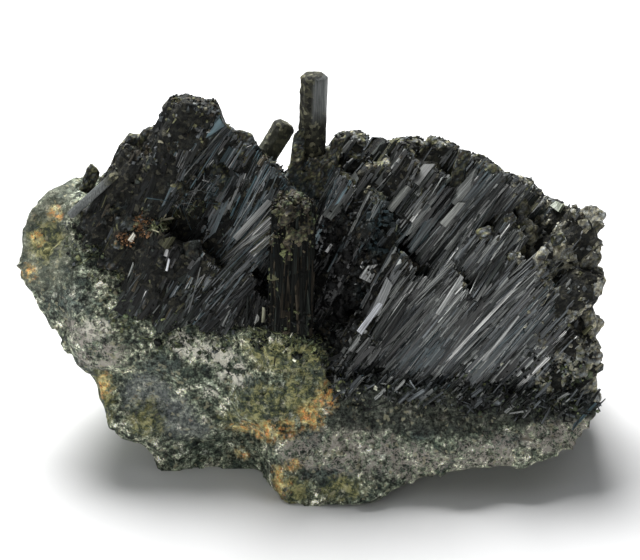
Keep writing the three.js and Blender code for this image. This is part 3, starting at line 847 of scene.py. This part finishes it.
CUBE = np.array([(x, y, z) for x in (-1, 1) for y in (-1, 1) for z in (-1, 1)], float) / 2
CUBE_FACES = np.array([(0, 1, 3, 2), (4, 6, 7, 5), (0, 4, 5, 1), (2, 3, 7, 6), (0, 2, 6, 4), (1, 5, 7, 3)])


def chunks(name, random, at, size):
    """Angular pieces at those places, each turned its own way."""
    count = len(at)
    one = unit(random.normal(0, 1, (count, 3)))
    two = unit(np.cross(one, random.normal(0, 1, (count, 3))))
    axes = np.stack([one, two, np.cross(one, two)], axis=1)
    scale = size * random.uniform(0.5, 1.2, (count, 3))
    corners = CUBE[None] * random.uniform(0.45, 1.1, (count, 8, 3)) * scale[:, None]
    points = under_skyline((at[:, None] + np.einsum("nkc,ncd->nkd", corners, axes)).reshape(-1, 3))
    return mesh_of(name, points, [(np.arange(count)[:, None, None] * 8 + CUBE_FACES[None]).reshape(-1, 4)])


def crumbs(name, seed, surface, zone, per_mm2, size, shares, proud=0.2, faces=None):
    """Broken grains, sunk into the surface."""
    random = np.random.default_rng(seed)
    chosen, at = surface.scatter(random, per_mm2, zone, faces)
    count = len(chosen)
    at = at + surface.normal[chosen] * random.uniform(-0.25, proud, (count, 1))
    piece = chunks(name, random, at, size * np.exp(random.normal(0, 0.4, (count, 1))))
    tint_all(piece, np.repeat(tints(random, at, shares, 0.4), len(CUBE), axis=0))
    dress(piece, crumb_material)


def crust(name, seed, surface, zone, per_mm2, size, sunk, cell, shares, faces=None):
    """A crust of chunks grown into one lumpy skin."""
    random = np.random.default_rng(seed)
    chosen, at = surface.scatter(random, per_mm2, zone, faces)
    at = at - surface.normal[chosen] * random.uniform(sunk * 0.4, sunk, (len(at), 1))
    sizes = size * np.exp(random.normal(0, 0.3, (len(at), 1)))
    piece = chunks(name, random, at, sizes)
    even_faces(piece, cell)
    roughen(piece, random, shares)


def roughen(piece, random, shares):
    """Gives a joined piece its lumps, and colours that are paler on the lumps than between them: painted
    highlight and shade.
    """
    points = points_of(piece.data)
    height = roughness_at(points, [(1.5, 0.22), (0.8, 0.2), (0.5, 0.12)])
    raise_by(piece, height, hold=under_skyline)
    # painted highlight and painted shade: the tint is lightened on raised lumps and darkened between them
    tint_all(piece, tints(random, points, shares, sheen=0.2) * np.exp(2.2 * height)[:, None])
    dress(piece, crumb_material)


def broken_prisms(name, seed, prisms, cell, shares):
    """Stout prisms grown into each other, each from root to tip, with its width across x."""
    random = np.random.default_rng(seed)
    root, tip = (np.array([prism[end] for prism in prisms], float) for end in (0, 1))
    wide, thick = (np.array([prism[k] for prism in prisms], float) for k in (2, 3))
    side = unit(np.array([(1, 0, 0)] * len(prisms)) + random.normal(0, 0.25, (len(prisms), 3)))
    piece = blades(name, LATH, root, tip, side, wide, thick, np.zeros((len(prisms), 3)),
                   random.normal(0, 0.4, len(prisms)), random.uniform(0.8, 1, len(prisms)))
    even_faces(piece, cell)
    roughen(piece, random, shares)


def crumb_finish():
    f = Finish("crumbled aegirine")
    mm = f.place()
    speck = f.ramp(f.noise(mm, 4.0, detail=3), [(0.3, 0.5), (0.55, 1.0), (0.75, 2.0)])
    f.put(f.shader.inputs["Base Color"], f.mix(1.0, f.stored("tint", "Color"), speck, "MULTIPLY"))
    f.put(f.shader.inputs["Roughness"], f.ramp(speck, [(0.4, 0.85), (1.0, 0.55)]))
    f.shader.inputs["Specular IOR Level"].default_value = 0.25
    f.put(f.shader.inputs["Normal"], f.bump(f.noise(mm, 5.0, detail=3), 0.08))
    return f.material


crumb_material = crumb_finish()
end_faces = np.where(~mass_surface.is_side)[0]


def left_peak_zone(p):
    """The left peak, with thinner places."""
    peak = between(p[:, 0], -60, -14, 3) * between(p[:, 2], 30, 60, 4)
    return peak * np.clip(0.85 + lumps(p, 3, 41), 0.25, 1)


def top_zone(p):
    """The upper rim of the left peak and its tier, and the crest's ends."""
    return between(p[:, 2] - 0.35 * (p[:, 0] + 30), 45.5, 60, 2.5) * between(p[:, 0], -60, -8, 3)


def right_end_zone(p):
    """The broken right-hand end, with thinner places."""
    end = between(p[:, 0] + 2.5 * between(p[:, 2], 25, 60, 6), 31, 60, 3)
    return end * np.clip(0.9 + lumps(p, 4, 42), 0, 1)


def crest_zone(p):
    """The tops of the bundles between the upright prism and the right-hand end."""
    return between(p[:, 0], -5, 36, 3) * between(p[:, 2], 34, 60, 4)


LEFT_SHARES = [(BLACK, 7), (BROWN, 2), (GREEN_BLACK, 5), (SLATE, 1.2), (OLIVE, 1.6), (TAN, 0.1)]
TOP_SHARES = [(BLACK, 2), (BROWN, 3), (OLIVE, 5), (GREEN_BLACK, 2), (SLATE, 3), (GREY, 1.5), (TAN, 0.6)]
END_SHARES = [(BROWN, 1.5), (OLIVE, 3), ((0.27, 0.26, 0.2), 9), (SLATE, 3.5), (GREY, 7), (TAN, 3)]
PRISM_SHARES = [(BLACK, 4), (BROWN, 3), (OLIVE, 3), (GREEN_BLACK, 4), (SLATE, 2), (TAN, 0.3)]
# mostly black: painted shade for the crust and crumbs in the hollow between the column and the fan
HOLLOW_SHADE_SHARES = [(BLACK, 10), (GREEN_BLACK, 3), (BROWN, 1.5), (SLATE, 1), (GREY, 0.25), (SILVER_GLINT, 0.08)]
PRISMS = [  # root, tip, width, thickness: stout prisms whose broken tops stand on the skyline
    ((-36.6, 4.4, 37), (-33.9, 5, 45), 2.4, 1.6), ((-32.2, 2, 41), (-29.6, 2.2, 49.6), 2.2, 2.0),
    ((-30, 2, 41), (-27.6, 2.3, 50.3), 2.4, 2.4), ((-27.3, 1, 43), (-25, 1.8, 51.3), 2.0, 2.0),
    ((-17.8, -0.5, 45), (-15.7, 0.3, 55.4), 2.2, 2.0), ((-14, 1.2, 45), (-12.9, 2, 51), 1.8, 1.8),
    ((-12.4, 0.8, 43), (-10.9, 1.5, 51), 2.8, 2.2), ((-3.5, -1, 44), (-3, -0.7, 53), 1.9, 1.8),
    ((-4, -1.6, 43), (-3, -1.3, 49.4), 2.4, 2.0), ((-2.4, -2.6, 41), (0.2, -1.8, 47.4), 2.6, 1.8),
    ((-0.4, -2.4, 42), (2.8, -0.6, 50.9), 2.4, 2.0), ((19, -1.5, 40), (21.4, 0.4, 48.4), 2.2, 1.8),
]
RIGHT_WALL = np.array([(12, -8.8), (22, -5.8), (30, -3.4), (38.4, 0.2)]).T  # its height and depth
RIGHT_TIPS = [12.1, 13.5, 16.2, 18, 19.3, 22.4, 23.6, 26.3, 28.6, 29.7, 32.4, 34.2, 36.6, 38.2]


def right_prism(k, top):
    """A prism of the broken right-hand wall, given its number and the height of its tip."""
    depth = float(np.interp(top, *RIGHT_WALL))
    root = (36.4 + k % 3 * 0.4, depth, top - 5.6)
    tip = (41.9 - k * 5 % 4 * 0.28, depth + 1 + k % 2 * 0.6, top)
    return root, tip, 3.2 - k * 3 % 5 * 0.35, 4.6


crust("left_peak_crust", 11, mass_surface, left_peak_zone, 0.9, 1.3, 0.7, 0.44, LEFT_SHARES)
crust("crest_crust", 16, mass_surface, crest_zone, 1.0, 1.3, 0.5, 0.45, TOP_SHARES, faces=end_faces)
crust("right_end_crust", 12, mass_surface, right_end_zone, 1.2, 1.1, 0.5, 0.48, END_SHARES)
broken_prisms("broken_prisms", 19, PRISMS, 0.34, PRISM_SHARES)
broken_prisms("right_end_prisms", 20, [right_prism(k, top) for k, top in enumerate(RIGHT_TIPS)],
              0.38, END_SHARES)
crust("hollow_crust", 26, front_sheet, in_hollow, 1.1, 1.1, 0.3, 0.42, HOLLOW_SHADE_SHARES)
crumbs("hollow_crumbs", 27, front_sheet, in_hollow, 4.0, 0.4, HOLLOW_SHADE_SHARES, proud=0.5)
crumbs("left_peak_crumbs", 17, mass_surface, left_peak_zone, 0.9, 0.32, LEFT_SHARES, proud=0.35)
crumbs("left_peak_top_crumbs", 15, mass_surface, top_zone, 2.2, 0.4, TOP_SHARES, proud=0.4)
crumbs("right_end_crumbs", 18, mass_surface, right_end_zone, 1.2, 0.4, END_SHARES, proud=0.4)
crumbs("broken_end_crumbs", 13, mass_surface, everywhere, 0.5, 0.45,
       [(BLACK, 3), (BROWN, 3), (OLIVE, 4), (SLATE, 2), (TAN, 0.25)], faces=end_faces)

# ---- Single crystals ----------------------------------------------------------------------------
# Loose-lying laths, plates and blocks that caught on the mass as it broke: cleaner and brighter than
# what they lie on, a few of them pale as painted glints, each held by the face beneath it, and a few stained
# rust-red or crusted pale green.

SINGLES = [  # root, tip, width, thickness, colour
    ((-12.4, -5.1, 36.4), (-7.2, -4.3, 42.2), 0.95, 0.4, (0.26, 0.27, 0.26)),
    # painted highlight: this pale lower part of a blade stands for where it catches the light
    ((5.8, -13.2, 25.2), (8.4, -11.2, 28.8), 0.9, 0.5, (0.7, 0.72, 0.76)),
    ((7.6, -11.8, 27.4), (10.3, -9.2, 31.6), 1.3, 0.5, (0.22, 0.23, 0.23)),
    ((6.4, -6.7, 30.6), (7.8, -6.4, 32.9), 1.9, 0.5, (0.42, 0.43, 0.42)),
    ((5.5, -6.4, 32.3), (6.2, -6.2, 33.5), 1.0, 0.5, (0.95, 0.95, 0.95)),
    # painted glint: a small pale plate
    ((0.8, -4.8, 34.2), (1.6, -4.6, 35.4), 0.5, 0.3, (0.8, 0.8, 0.8)),
    ((1.2, -4.8, 39.6), (5.4, -1.2, 44.9), 1.5, 0.9, (0.13, 0.14, 0.13)),
    ((14.0, -2.4, 43.4), (16.4, -0.6, 46.0), 1.8, 0.8, (0.06, 0.063, 0.057)),
    ((10.4, -3.4, 40.0), (13.4, -2.0, 42.8), 1.6, 0.9, (0.26, 0.27, 0.25)),
    ((19.5, -2.6, 41.0), (22.6, -1.7, 44.6), 1.8, 0.9, (0.2, 0.21, 0.2)),
    ((17.5, -4.2, 38.6), (20.6, -3.4, 41.6), 1.2, 0.7, (0.3, 0.31, 0.29)),
    # painted glints: two pale slivers
    ((-22.6, -8.6, 35.2), (-21.4, -7.4, 38.2), 0.45, 0.3, (0.9, 0.9, 0.9)),
    ((-22.3, -9.4, 33.4), (-21.9, -9.2, 35.2), 0.35, 0.3, (0.8, 0.82, 0.85)),
    ((-27.9, -5.4, 36.3), (-27.2, -5.4, 37.4), 0.8, 0.5, (0.75, 0.72, 0.6)),
    ((-9.6, -11.9, 25.0), (-9.2, -11.7, 27.6), 0.6, 0.4, (0.8, 0.8, 0.76)),
    ((-8.4, -11.9, 26.2), (-8.3, -11.6, 28.6), 0.5, 0.4, (0.5, 0.5, 0.36)),
    ((39.0, -3.1, 31.0), (40.9, -2.5, 33.0), 0.5, 0.4, (0.85, 0.83, 0.72)),
    ((35.2, 2.0, 37.2), (37.4, 2.8, 39.2), 1.8, 1.1, (0.3, 0.33, 0.26)),
    ((33.9, -10.0, 20.4), (34.8, -9.6, 21.5), 0.9, 0.5, (0.14, 0.03, 0.02)),
    ((24.0, -12.4, 20.4), (29.0, -11.4, 27.4), 0.5, 0.3, (0.36, 0.37, 0.36)),
    ((17.0, -12.8, 27.5), (21.4, -11.6, 33.6), 0.8, 0.4, (0.42, 0.43, 0.42)),
]


def lay_singles(name, surface, singles):
    """Crystals laid on the surface where each one's root and tip come nearest to it."""
    random = np.random.default_rng(61)
    ends = [[surface.tree.find_nearest(Vector(single[end])) for single in singles] for end in (0, 1)]
    root, tip = (np.array([place for place, *_ in end]) for end in ends)
    root_normal, tip_normal = (np.array([normal for _, normal, *_ in end]) for end in ends)
    wide, thick, colour = (np.array([single[k] for single in singles]) for k in (2, 3, 4))
    normal = unit(root_normal + tip_normal)
    side = unit(np.cross(normal, tip - root))
    lift = normal * (thick[:, None] * 0.35 + 0.3)  # on the fine blades that cover the surface
    piece = blades(name, LATH, root + lift, tip + lift, side, wide, thick, colour,
                   random.normal(0, 0.5, len(singles)), random.uniform(0.7, 1, len(singles)))
    dress(piece, clean_blades)


lay_singles("single_crystals", mass_surface, SINGLES)

# ---- Splinters ----------------------------------------------------------------------------------
# Broken needles of the same aegirine, about a millimetre long. They fell into the hollows between the
# left peak and the fan and lie there every way.


def bristles(name, seed, surface, zone, per_mm2, width, length, shares,
             upright=0.4, proud=0.0, leaning=(0, 0, 0)):
    """Short needles that stand and lie every way on a surface, or mostly lean one way."""
    random = np.random.default_rng(seed)
    chosen, at = surface.scatter(random, per_mm2, zone)
    count = len(chosen)
    normal = surface.normal[chosen]
    way = unit(random.normal(0, 1, (count, 3)) + normal * upright + leaning)
    way = way * np.where((way * normal).sum(1) < -0.1, -1, 1)[:, None]
    long = length * np.exp(random.normal(0, 0.4, (count, 1)))
    wide = width * np.exp(random.normal(0, 0.4, count))
    side = unit(np.cross(way, random.normal(0, 1, (count, 3))))
    root = at + normal * (proud - 0.15) - way * long * 0.3
    piece = blades(name, NEEDLE, root, root + way * long, side, wide, wide * 0.8, tints(random, at, shares),
                   random.normal(0, 0.5, count), random.uniform(0.5, 1, count))
    dress(piece, dull_blades)


def splinter_zone(p):
    """The hollows and the ground between the peak and the fan."""
    return between(p[:, 0], -24, 14, 5) * between(p[:, 1], -60, 6) * np.clip(0.6 + lumps(p, 2.5, 44), 0, 1)


bristles("splinters", 25, mass_surface, splinter_zone, 0.6, 0.17, 1.0,
         [(BLACK, 5), (GREEN_BLACK, 4), (SLATE, 3), (OLIVE, 2), (GREY, 0.8), (SILVER_GLINT, 0.25)])

# ---- Crust at the foot of the crystals ----------------------------------------------------------
# Where the crystals meet the rock, both are hidden by a crust of short needles and grains, olive green
# at the left and the corner, dark with pale grains along the right.

OLIVE_GREEN, MOSS, CREAM = (0.19, 0.21, 0.1), (0.08, 0.1, 0.055), (0.7, 0.7, 0.56)
rock_surface = Surface("host_rock")


def close_to(surface, p, distance):
    """1 for points within the distance of a solid, fading to 0 at twice that."""
    gaps = np.array([surface.tree.find_nearest(Vector(q))[3] for q in p])
    return np.clip(2 - gaps / distance, 0, 1)


def foot_zone_on_rock(p):
    """A band of the rock along the foot of the crystals."""
    return close_to(mass_surface, p, 1.9) * between(p[:, 1], -60, 6) * np.clip(0.7 + lumps(p, 3, 51), 0, 1)


def foot_zone_on_crystals(p):
    """Within a millimetre or two of the rock, and higher up at the right."""
    higher = between(p[:, 0], 20, 60, 10) * between(p[:, 2], 0, 17, 5) * np.clip(0.35 + lumps(p, 2, 52), 0, 1)
    return np.maximum(close_to(rock_surface, p, 1.2), higher) * between(p[:, 1], -60, 0)


def fan_foot_zone(p):
    """The foot of the fan, reaching higher towards the right."""
    top = 14 + 0.24 * np.clip(p[:, 0] - 10, 0, 40) + 2.5 * lumps(p, 3.5, 53)
    return between(p[:, 0], 5, 39.5, 3) * np.clip((top - p[:, 2]) / 4 + 0.5, 0, 1)


def rim_zone(p):
    """The edge of the rock in front of the fan."""
    return close_to(mass_surface, p, 2.2) * between(p[:, 0], 2, 60, 3) * between(p[:, 1], -60, 3)


FAN_FOOT = [(BLACK, 7), (GREEN_BLACK, 5), (MOSS, 2), (SLATE, 2.5), (OLIVE_GREEN, 1), (GREY, 0.6),
            (CREAM, 0.3)]
CRUST = [(MOSS, 4), (OLIVE_GREEN, 4), (BLACK, 3), (SLATE, 2), (CREAM, 0.35)]
bristles("foot_needles", 21, rock_surface, foot_zone_on_rock, 1.0, 0.16, 0.9, CRUST, upright=0.1)
bristles("foot_needles_on_crystals", 23, mass_surface, foot_zone_on_crystals, 0.6, 0.16, 0.9, CRUST,
         upright=0.1)
crumbs("foot_grains", 22, rock_surface, foot_zone_on_rock, 1.4, 0.45, CRUST, proud=0.3)
crust("rim_crust", 35, rock_surface, rim_zone, 0.8, 1.3, 0.4, 0.45, FAN_FOOT)
bristles("rim_needles", 38, rock_surface, rim_zone, 3.0, 0.17, 1.5,
         [(BLACK, 5), (GREEN_BLACK, 3), (SLATE, 3), (GREY, 1)], upright=0.2, proud=0.4)
bristles("rim_blades", 41, rock_surface, rim_zone, 1.5, 0.32, 2.5,
         [(BLACK, 4), (GREEN_BLACK, 4), (SLATE, 4), (GREY, 4), (TEAL_SHEEN, 0.2)],
         proud=0.3, leaning=(4.4, 0.3, 4.8))
crumbs("rim_grains", 36, rock_surface, rim_zone, 3.5, 0.36, FAN_FOOT, proud=0.4)
crust("fan_foot_crust", 28, front_sheet, fan_foot_zone, 0.9, 1.0, 0.25, 0.4, FAN_FOOT)
crumbs("fan_foot_grains", 29, front_sheet, fan_foot_zone, 5.0, 0.36, FAN_FOOT, proud=0.5)
crumbs("foot_grains_on_crystals", 24, mass_surface, foot_zone_on_crystals, 1.0, 0.42,
       [(BLACK, 4), (GREEN_BLACK, 4), (MOSS, 4), (OLIVE_GREEN, 1.5), (CREAM, 0.4), (GREY, 1)], proud=0.3)

# ---- Crystals that stand apart ------------------------------------------------------------------
# The upright and the leaning prism, the column in the hollow and the blade at the left: each a stout
# prism, striated along its length and crumbled towards its top.

STAND_CELL = 0.235  # size of their meshes' faces


def stand_finish(name, dark, light):
    f = Finish(name)
    mm = f.place()
    streak = f.noise(f.scaled(f.stored("lie", "Vector"), (5.0, 5.0, 0.25)), 1.0, detail=4, rough=0.65)
    body = f.ramp(streak, [(0.3, dark), (0.7, light)])
    mottle = f.ramp(f.grain(f.bent(mm, 1.5, 0.8), 1.8), [
        (0.0, (0.008, 0.008, 0.006)), (0.55, (0.04, 0.04, 0.028)), (0.85, (0.1, 0.098, 0.06)),
        (1.0, (0.24, 0.23, 0.15)),
    ])
    f.put(f.shader.inputs["Base Color"], f.mix(f.stored("crumbled"), body, mottle))
    f.put(f.shader.inputs["Roughness"], f.ramp(f.stored("crumbled"), [(0.0, 0.4), (1.0, 0.8)]))
    f.shader.inputs["Specular IOR Level"].default_value = 0.35
    lined = f.bump(streak, 0.1)
    f.put(f.shader.inputs["Normal"], f.bump(f.noise(mm, 4.0, detail=4), 0.08, under=lined))
    return f.material


def stand(node, finish, striae, crumble, crumbled_at):
    """A detailed copy of a standing crystal; crumbled_at says where it has crumbled, from 0 to 1."""
    piece = fine_copy(node, node + "_surface", STAND_CELL)
    points = points_of(piece.data)
    centre = points.mean(0)
    axis = np.linalg.svd(points - centre, full_matrices=False)[2][0]
    axis = axis * np.sign(axis[2])
    along = (points - centre) @ axis
    around = points - centre - along[:, None] * axis
    worn = crumbled_at(along / np.abs(along).max(), normals_of(piece.data))
    lines = lumps(around + axis * along[:, None] * 0.04, 0.55, seed=21)
    grit = lumps(points, 0.9, seed=22) * 0.6 + lumps(points, 0.45, seed=23) * 0.4
    points = raise_by(piece, striae * lines * (1 - worn) + crumble * grit * worn - 0.06)
    paint(piece, "lie", around + axis * along[:, None])
    paint(piece, "crumbled", worn)
    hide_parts(node)
    dress(piece, finish)


def left_face_worn(along, normals):
    """Crumbled on the left-hand side, along the lower part and at the very tip."""
    worn = 0.35 + 0.9 * np.clip(-normals[:, 0] * 2 + 0.4, -1, 1) + (along - 0.85) * 4 * (along > 0.85)
    return np.clip(np.maximum(worn, (0.45 - along) * 3), 0, 1)


def mostly_worn(along, normals):
    """Crumbled all along, and more so towards the top."""
    return np.clip(0.55 + 0.5 * along, 0, 1)


def top_worn(along, normals):
    """Crumbled only at the top."""
    return np.clip((along - 0.35) * 3, 0, 1)


grey_prism = stand_finish("grey striated prism", (0.035, 0.04, 0.038), (0.24, 0.255, 0.25))
brown_column = stand_finish("brown-black column", (0.003, 0.003, 0.002), (0.02, 0.017, 0.012))
olive_prism = stand_finish("olive-grey prism", (0.05, 0.055, 0.04), (0.3, 0.31, 0.23))
stand("upright_prism", grey_prism, 0.05, 0.16, left_face_worn)
stand("leaning_prism", olive_prism, 0.05, 0.14, mostly_worn)
stand("column_crystal", brown_column, 0.2, 0.3, top_worn)
stand("left_blade", grey_prism, 0.06, 0.1, top_worn)

column_surface = Surface("column_crystal", (0.03, 0.19, 0.98))
COLUMN_BLACK = [(BLACK, 12), ((0.03, 0.025, 0.018), 3), (GREEN_BLACK, 1)]
CAP_SHARES = [(BLACK, 5), (BROWN, 8), (OLIVE, 3), (MOSS, 2)]
MOSS_SHARES = [(BLACK, 5), (MOSS, 5), (GREEN_BLACK, 3), (OLIVE_GREEN, 4), (CREAM, 0.3)]


def cap_zone(p):
    """The column's crumbled crown."""
    return between(p[:, 2], 38.5, 60, 3)


def moss_zone(p):
    """The rock's top around the column's foot."""
    return close_to(column_surface, p, 2.2) * between(p[:, 1], -60, 6) * np.clip(0.75 + lumps(p, 2, 54), 0, 1)


def column_foot(p):
    return between(p[:, 2], 0, 29, 3)


def column_flake(p):
    """Three flakes of crust on the column's front."""
    return near(p, [((-7, -14, 33.5), (1.3, 3, 1.8)), ((-5, -14, 38), (1, 3, 1)),
                    ((-4, -13, 29), (1.2, 3, 1.2))])


lay_blades("column_ribs", 31, column_surface, everywhere, 3.5, LATH, (0.45, 0.4), (6.0, 0.5), COLUMN_BLACK,
           etched_blades, proud=0.3, stray=0.05)
crust("column_crust", 37, column_surface, cap_zone, 1.1, 1.3, 0.25, 0.36, CAP_SHARES)
crumbs("column_cap", 32, column_surface, cap_zone, 6.0, 0.36, CAP_SHARES, proud=0.6)
crumbs("column_moss", 39, rock_surface, moss_zone, 6.0, 0.42, MOSS_SHARES, proud=0.35)
bristles("column_moss_needles", 40, rock_surface, moss_zone, 5.0, 0.16, 0.9, MOSS_SHARES,
         upright=0.3, proud=0.2)
crumbs("column_foot", 33, column_surface, column_foot, 7.0, 0.36,
       [(BLACK, 6), (MOSS, 2), (BROWN, 2)], proud=0.5)
crumbs("column_flake", 34, column_surface, column_flake, 8.0, 0.5,
       [(OLIVE_GREEN, 3), (OLIVE, 2), (MOSS, 2)], proud=0.3)

# ---- Bundle of fibres ---------------------------------------------------------------------------
# A loose spindle of pale fibres that grew from the slab across to the column's crown, with a smaller
# one below it. Both ends are grown in.

SPINDLES = [  # root on the slab, tip on the column's crown, number of fibres, spread
    ((-14.2, -5.4, 32.6), (-5.2, -11.2, 43.6), 60, 0.55),
    ((-12.8, -6.4, 31.8), (-6.4, -12.2, 40.6), 26, 0.35),
]


def lay_spindles(name, spindles):
    """Bundles of fibres, each fibre running from near its bundle's root to near its tip."""
    random = np.random.default_rng(71)
    fibres = [each[2] for each in spindles]
    count = sum(fibres)
    spread = np.repeat([each[3] for each in spindles], fibres)[:, None]
    root, tip = (np.repeat([each[end] for each in spindles], fibres, axis=0)
                 + random.normal(0, 1, (count, 3)) * spread for end in (0, 1))
    root, tip = root + (root - tip) * 0.06, tip + (tip - root) * random.uniform(-0.12, 0.08, (count, 1))
    side = unit(np.cross(tip - root, random.normal(0, 1, (count, 3))))
    wide = random.uniform(0.08, 0.18, count)
    shares = [(SLATE, 4), (GREY, 5), (OLIVE, 3), (SILVER_GLINT, 2)]
    piece = blades(name, NEEDLE, root, tip, side, wide, wide * 0.7, tints(random, tip, shares),
                   random.normal(0, 0.5, count), random.uniform(0.4, 1, count))
    dress(piece, clean_blades)


lay_spindles("spindle_fibres", SPINDLES)

# ---- Fine fibres and fuzz -----------------------------------------------------------------------
# In the hollow below the left peak: two soft tufts of rust-stained grains and needles, a ridge of olive
# needles beside them, and hair-fine fibres of aegirine that cross each other above it.

RUST_BROWN, RUST_ORANGE = (0.14, 0.075, 0.035), (0.34, 0.19, 0.095)
RUSTY = [(RUST_BROWN, 4), (RUST_ORANGE, 4), (BROWN, 1)]


def rusty_zone(p):
    """The two soft tufts."""
    return near(p, [((-26, -5.1, 38.6), (1.5, 4, 1.4)), ((-28.6, -5.5, 36.4), (1.2, 4, 1.1))])


def ridge_zone(p):
    """The ridge beside the tufts, rising to the right."""
    return near(p, [((-23.5, -4.9, 38.9), (1.3, 4, 0.7)), ((-20.7, -2.3, 39.4), (1.6, 4, 0.7)),
                    ((-17.8, -1.9, 40.1), (1.4, 4, 0.7))])


def hair_zone(p):
    return near(p, [((-19.5, -2.5, 41.8), (2.6, 4, 1.5)), ((-16.5, -2, 43.4), (2, 4, 1.2))])


crumbs("rusty_grains", 73, mass_surface, rusty_zone, 14.0, 0.26, RUSTY, proud=0.8)
bristles("rusty_needles", 72, mass_surface, rusty_zone, 12.0, 0.11, 0.45, RUSTY, proud=0.5)
bristles("olive_needles", 74, mass_surface, ridge_zone, 9.0, 0.15, 0.8,
         [(OLIVE, 4), (OLIVE_GREEN, 3), (MOSS, 3), (TAN, 1)], proud=0.5)
bristles("hair_fibres", 75, mass_surface, hair_zone, 2.4, 0.07, 2.2,
         [(GREY, 4), (SILVER_GLINT, 2), (TEAL_SHEEN, 3)], proud=0.6)

# ---- Floor, light and camera --------------------------------------------------------------------
# The specimen lies on a plain sheet of pale paper. A large soft window shines from above, left and a
# little behind, and a white wall in front throws some of its light back.

SHEET_HALF = 900
sheet_corners = np.array([(-1, -1, 0), (1, -1, 0), (1, 1, 0), (-1, 1, 0)], float) * SHEET_HALF
floor = mesh_of("table", sheet_corners, [np.array([(0, 1, 2, 3)])])
paper = Finish("pale paper")
paper.put(paper.shader.inputs["Base Color"], (0.8, 0.8, 0.8, 1))
paper.put(paper.shader.inputs["Roughness"], 0.9)
floor.data.materials.append(paper.material)

ROOM_DARK, ROOM_BRIGHT = 0.02, 0.42  # light from the room's dark side and from its window side
WINDOW_SIDE = (-0.35, 0.36, 0.86)
room = bpy.data.worlds.new("soft white room")
bpy.context.scene.world = room
room.use_nodes = True
nodes, links = room.node_tree.nodes, room.node_tree.links
facing = nodes.new("ShaderNodeVectorMath")
facing.operation = "DOT_PRODUCT"
facing.inputs[1].default_value = WINDOW_SIDE
links.new(nodes.new("ShaderNodeTexCoord").outputs["Generated"], facing.inputs[0])
share = nodes.new("ShaderNodeMapRange")
share.interpolation_type = "SMOOTHSTEP"
for socket, value in {"From Min": 0.0, "From Max": 1.0, "To Min": ROOM_DARK, "To Max": ROOM_BRIGHT}.items():
    share.inputs[socket].default_value = value
links.new(facing.outputs["Value"], share.inputs["Value"])
links.new(share.outputs["Result"], nodes["Background"].inputs["Strength"])
nodes["Background"].inputs["Color"].default_value = (0.95, 0.98, 1.0, 1)


def lamp(name, place, aim, size, watts):
    """A round white lamp that faces what it is aimed at."""
    light = bpy.data.lights.new(name, "AREA")
    light.shape, light.size, light.energy = "DISK", size * MM, watts
    made = bpy.data.objects.new(name, light)
    made.location = Vector(place) * MM
    made.rotation_euler = (Vector(aim) - Vector(place)).to_track_quat("-Z", "Y").to_euler()
    bpy.context.scene.collection.objects.link(made)


lamp("window", (-85, 203, 430), (0, 20, 0), 300, 4.45)
lamp("white wall", (-120, -380, 95), (0, 0, 25), 300, 0.35)
bpy.context.scene.view_settings.view_transform = "Standard"

CAMERA_TILT = np.radians(28)
CAMERA_AWAY = 271  # from the point it looks at, in the middle of the specimen
AIM = Vector((0, 0, 26.7))
camera = bpy.data.objects.new("camera", bpy.data.cameras.new("camera"))
camera.data.lens, camera.data.sensor_width = 100, 36
camera.data.clip_start, camera.data.clip_end = 0.01, 10
camera.location = (AIM + Vector((0, -np.cos(CAMERA_TILT), np.sin(CAMERA_TILT))) * CAMERA_AWAY) * MM
camera.rotation_euler = (np.pi / 2 - CAMERA_TILT, 0, 0)
bpy.context.scene.collection.objects.link(camera)
bpy.context.scene.camera = camera
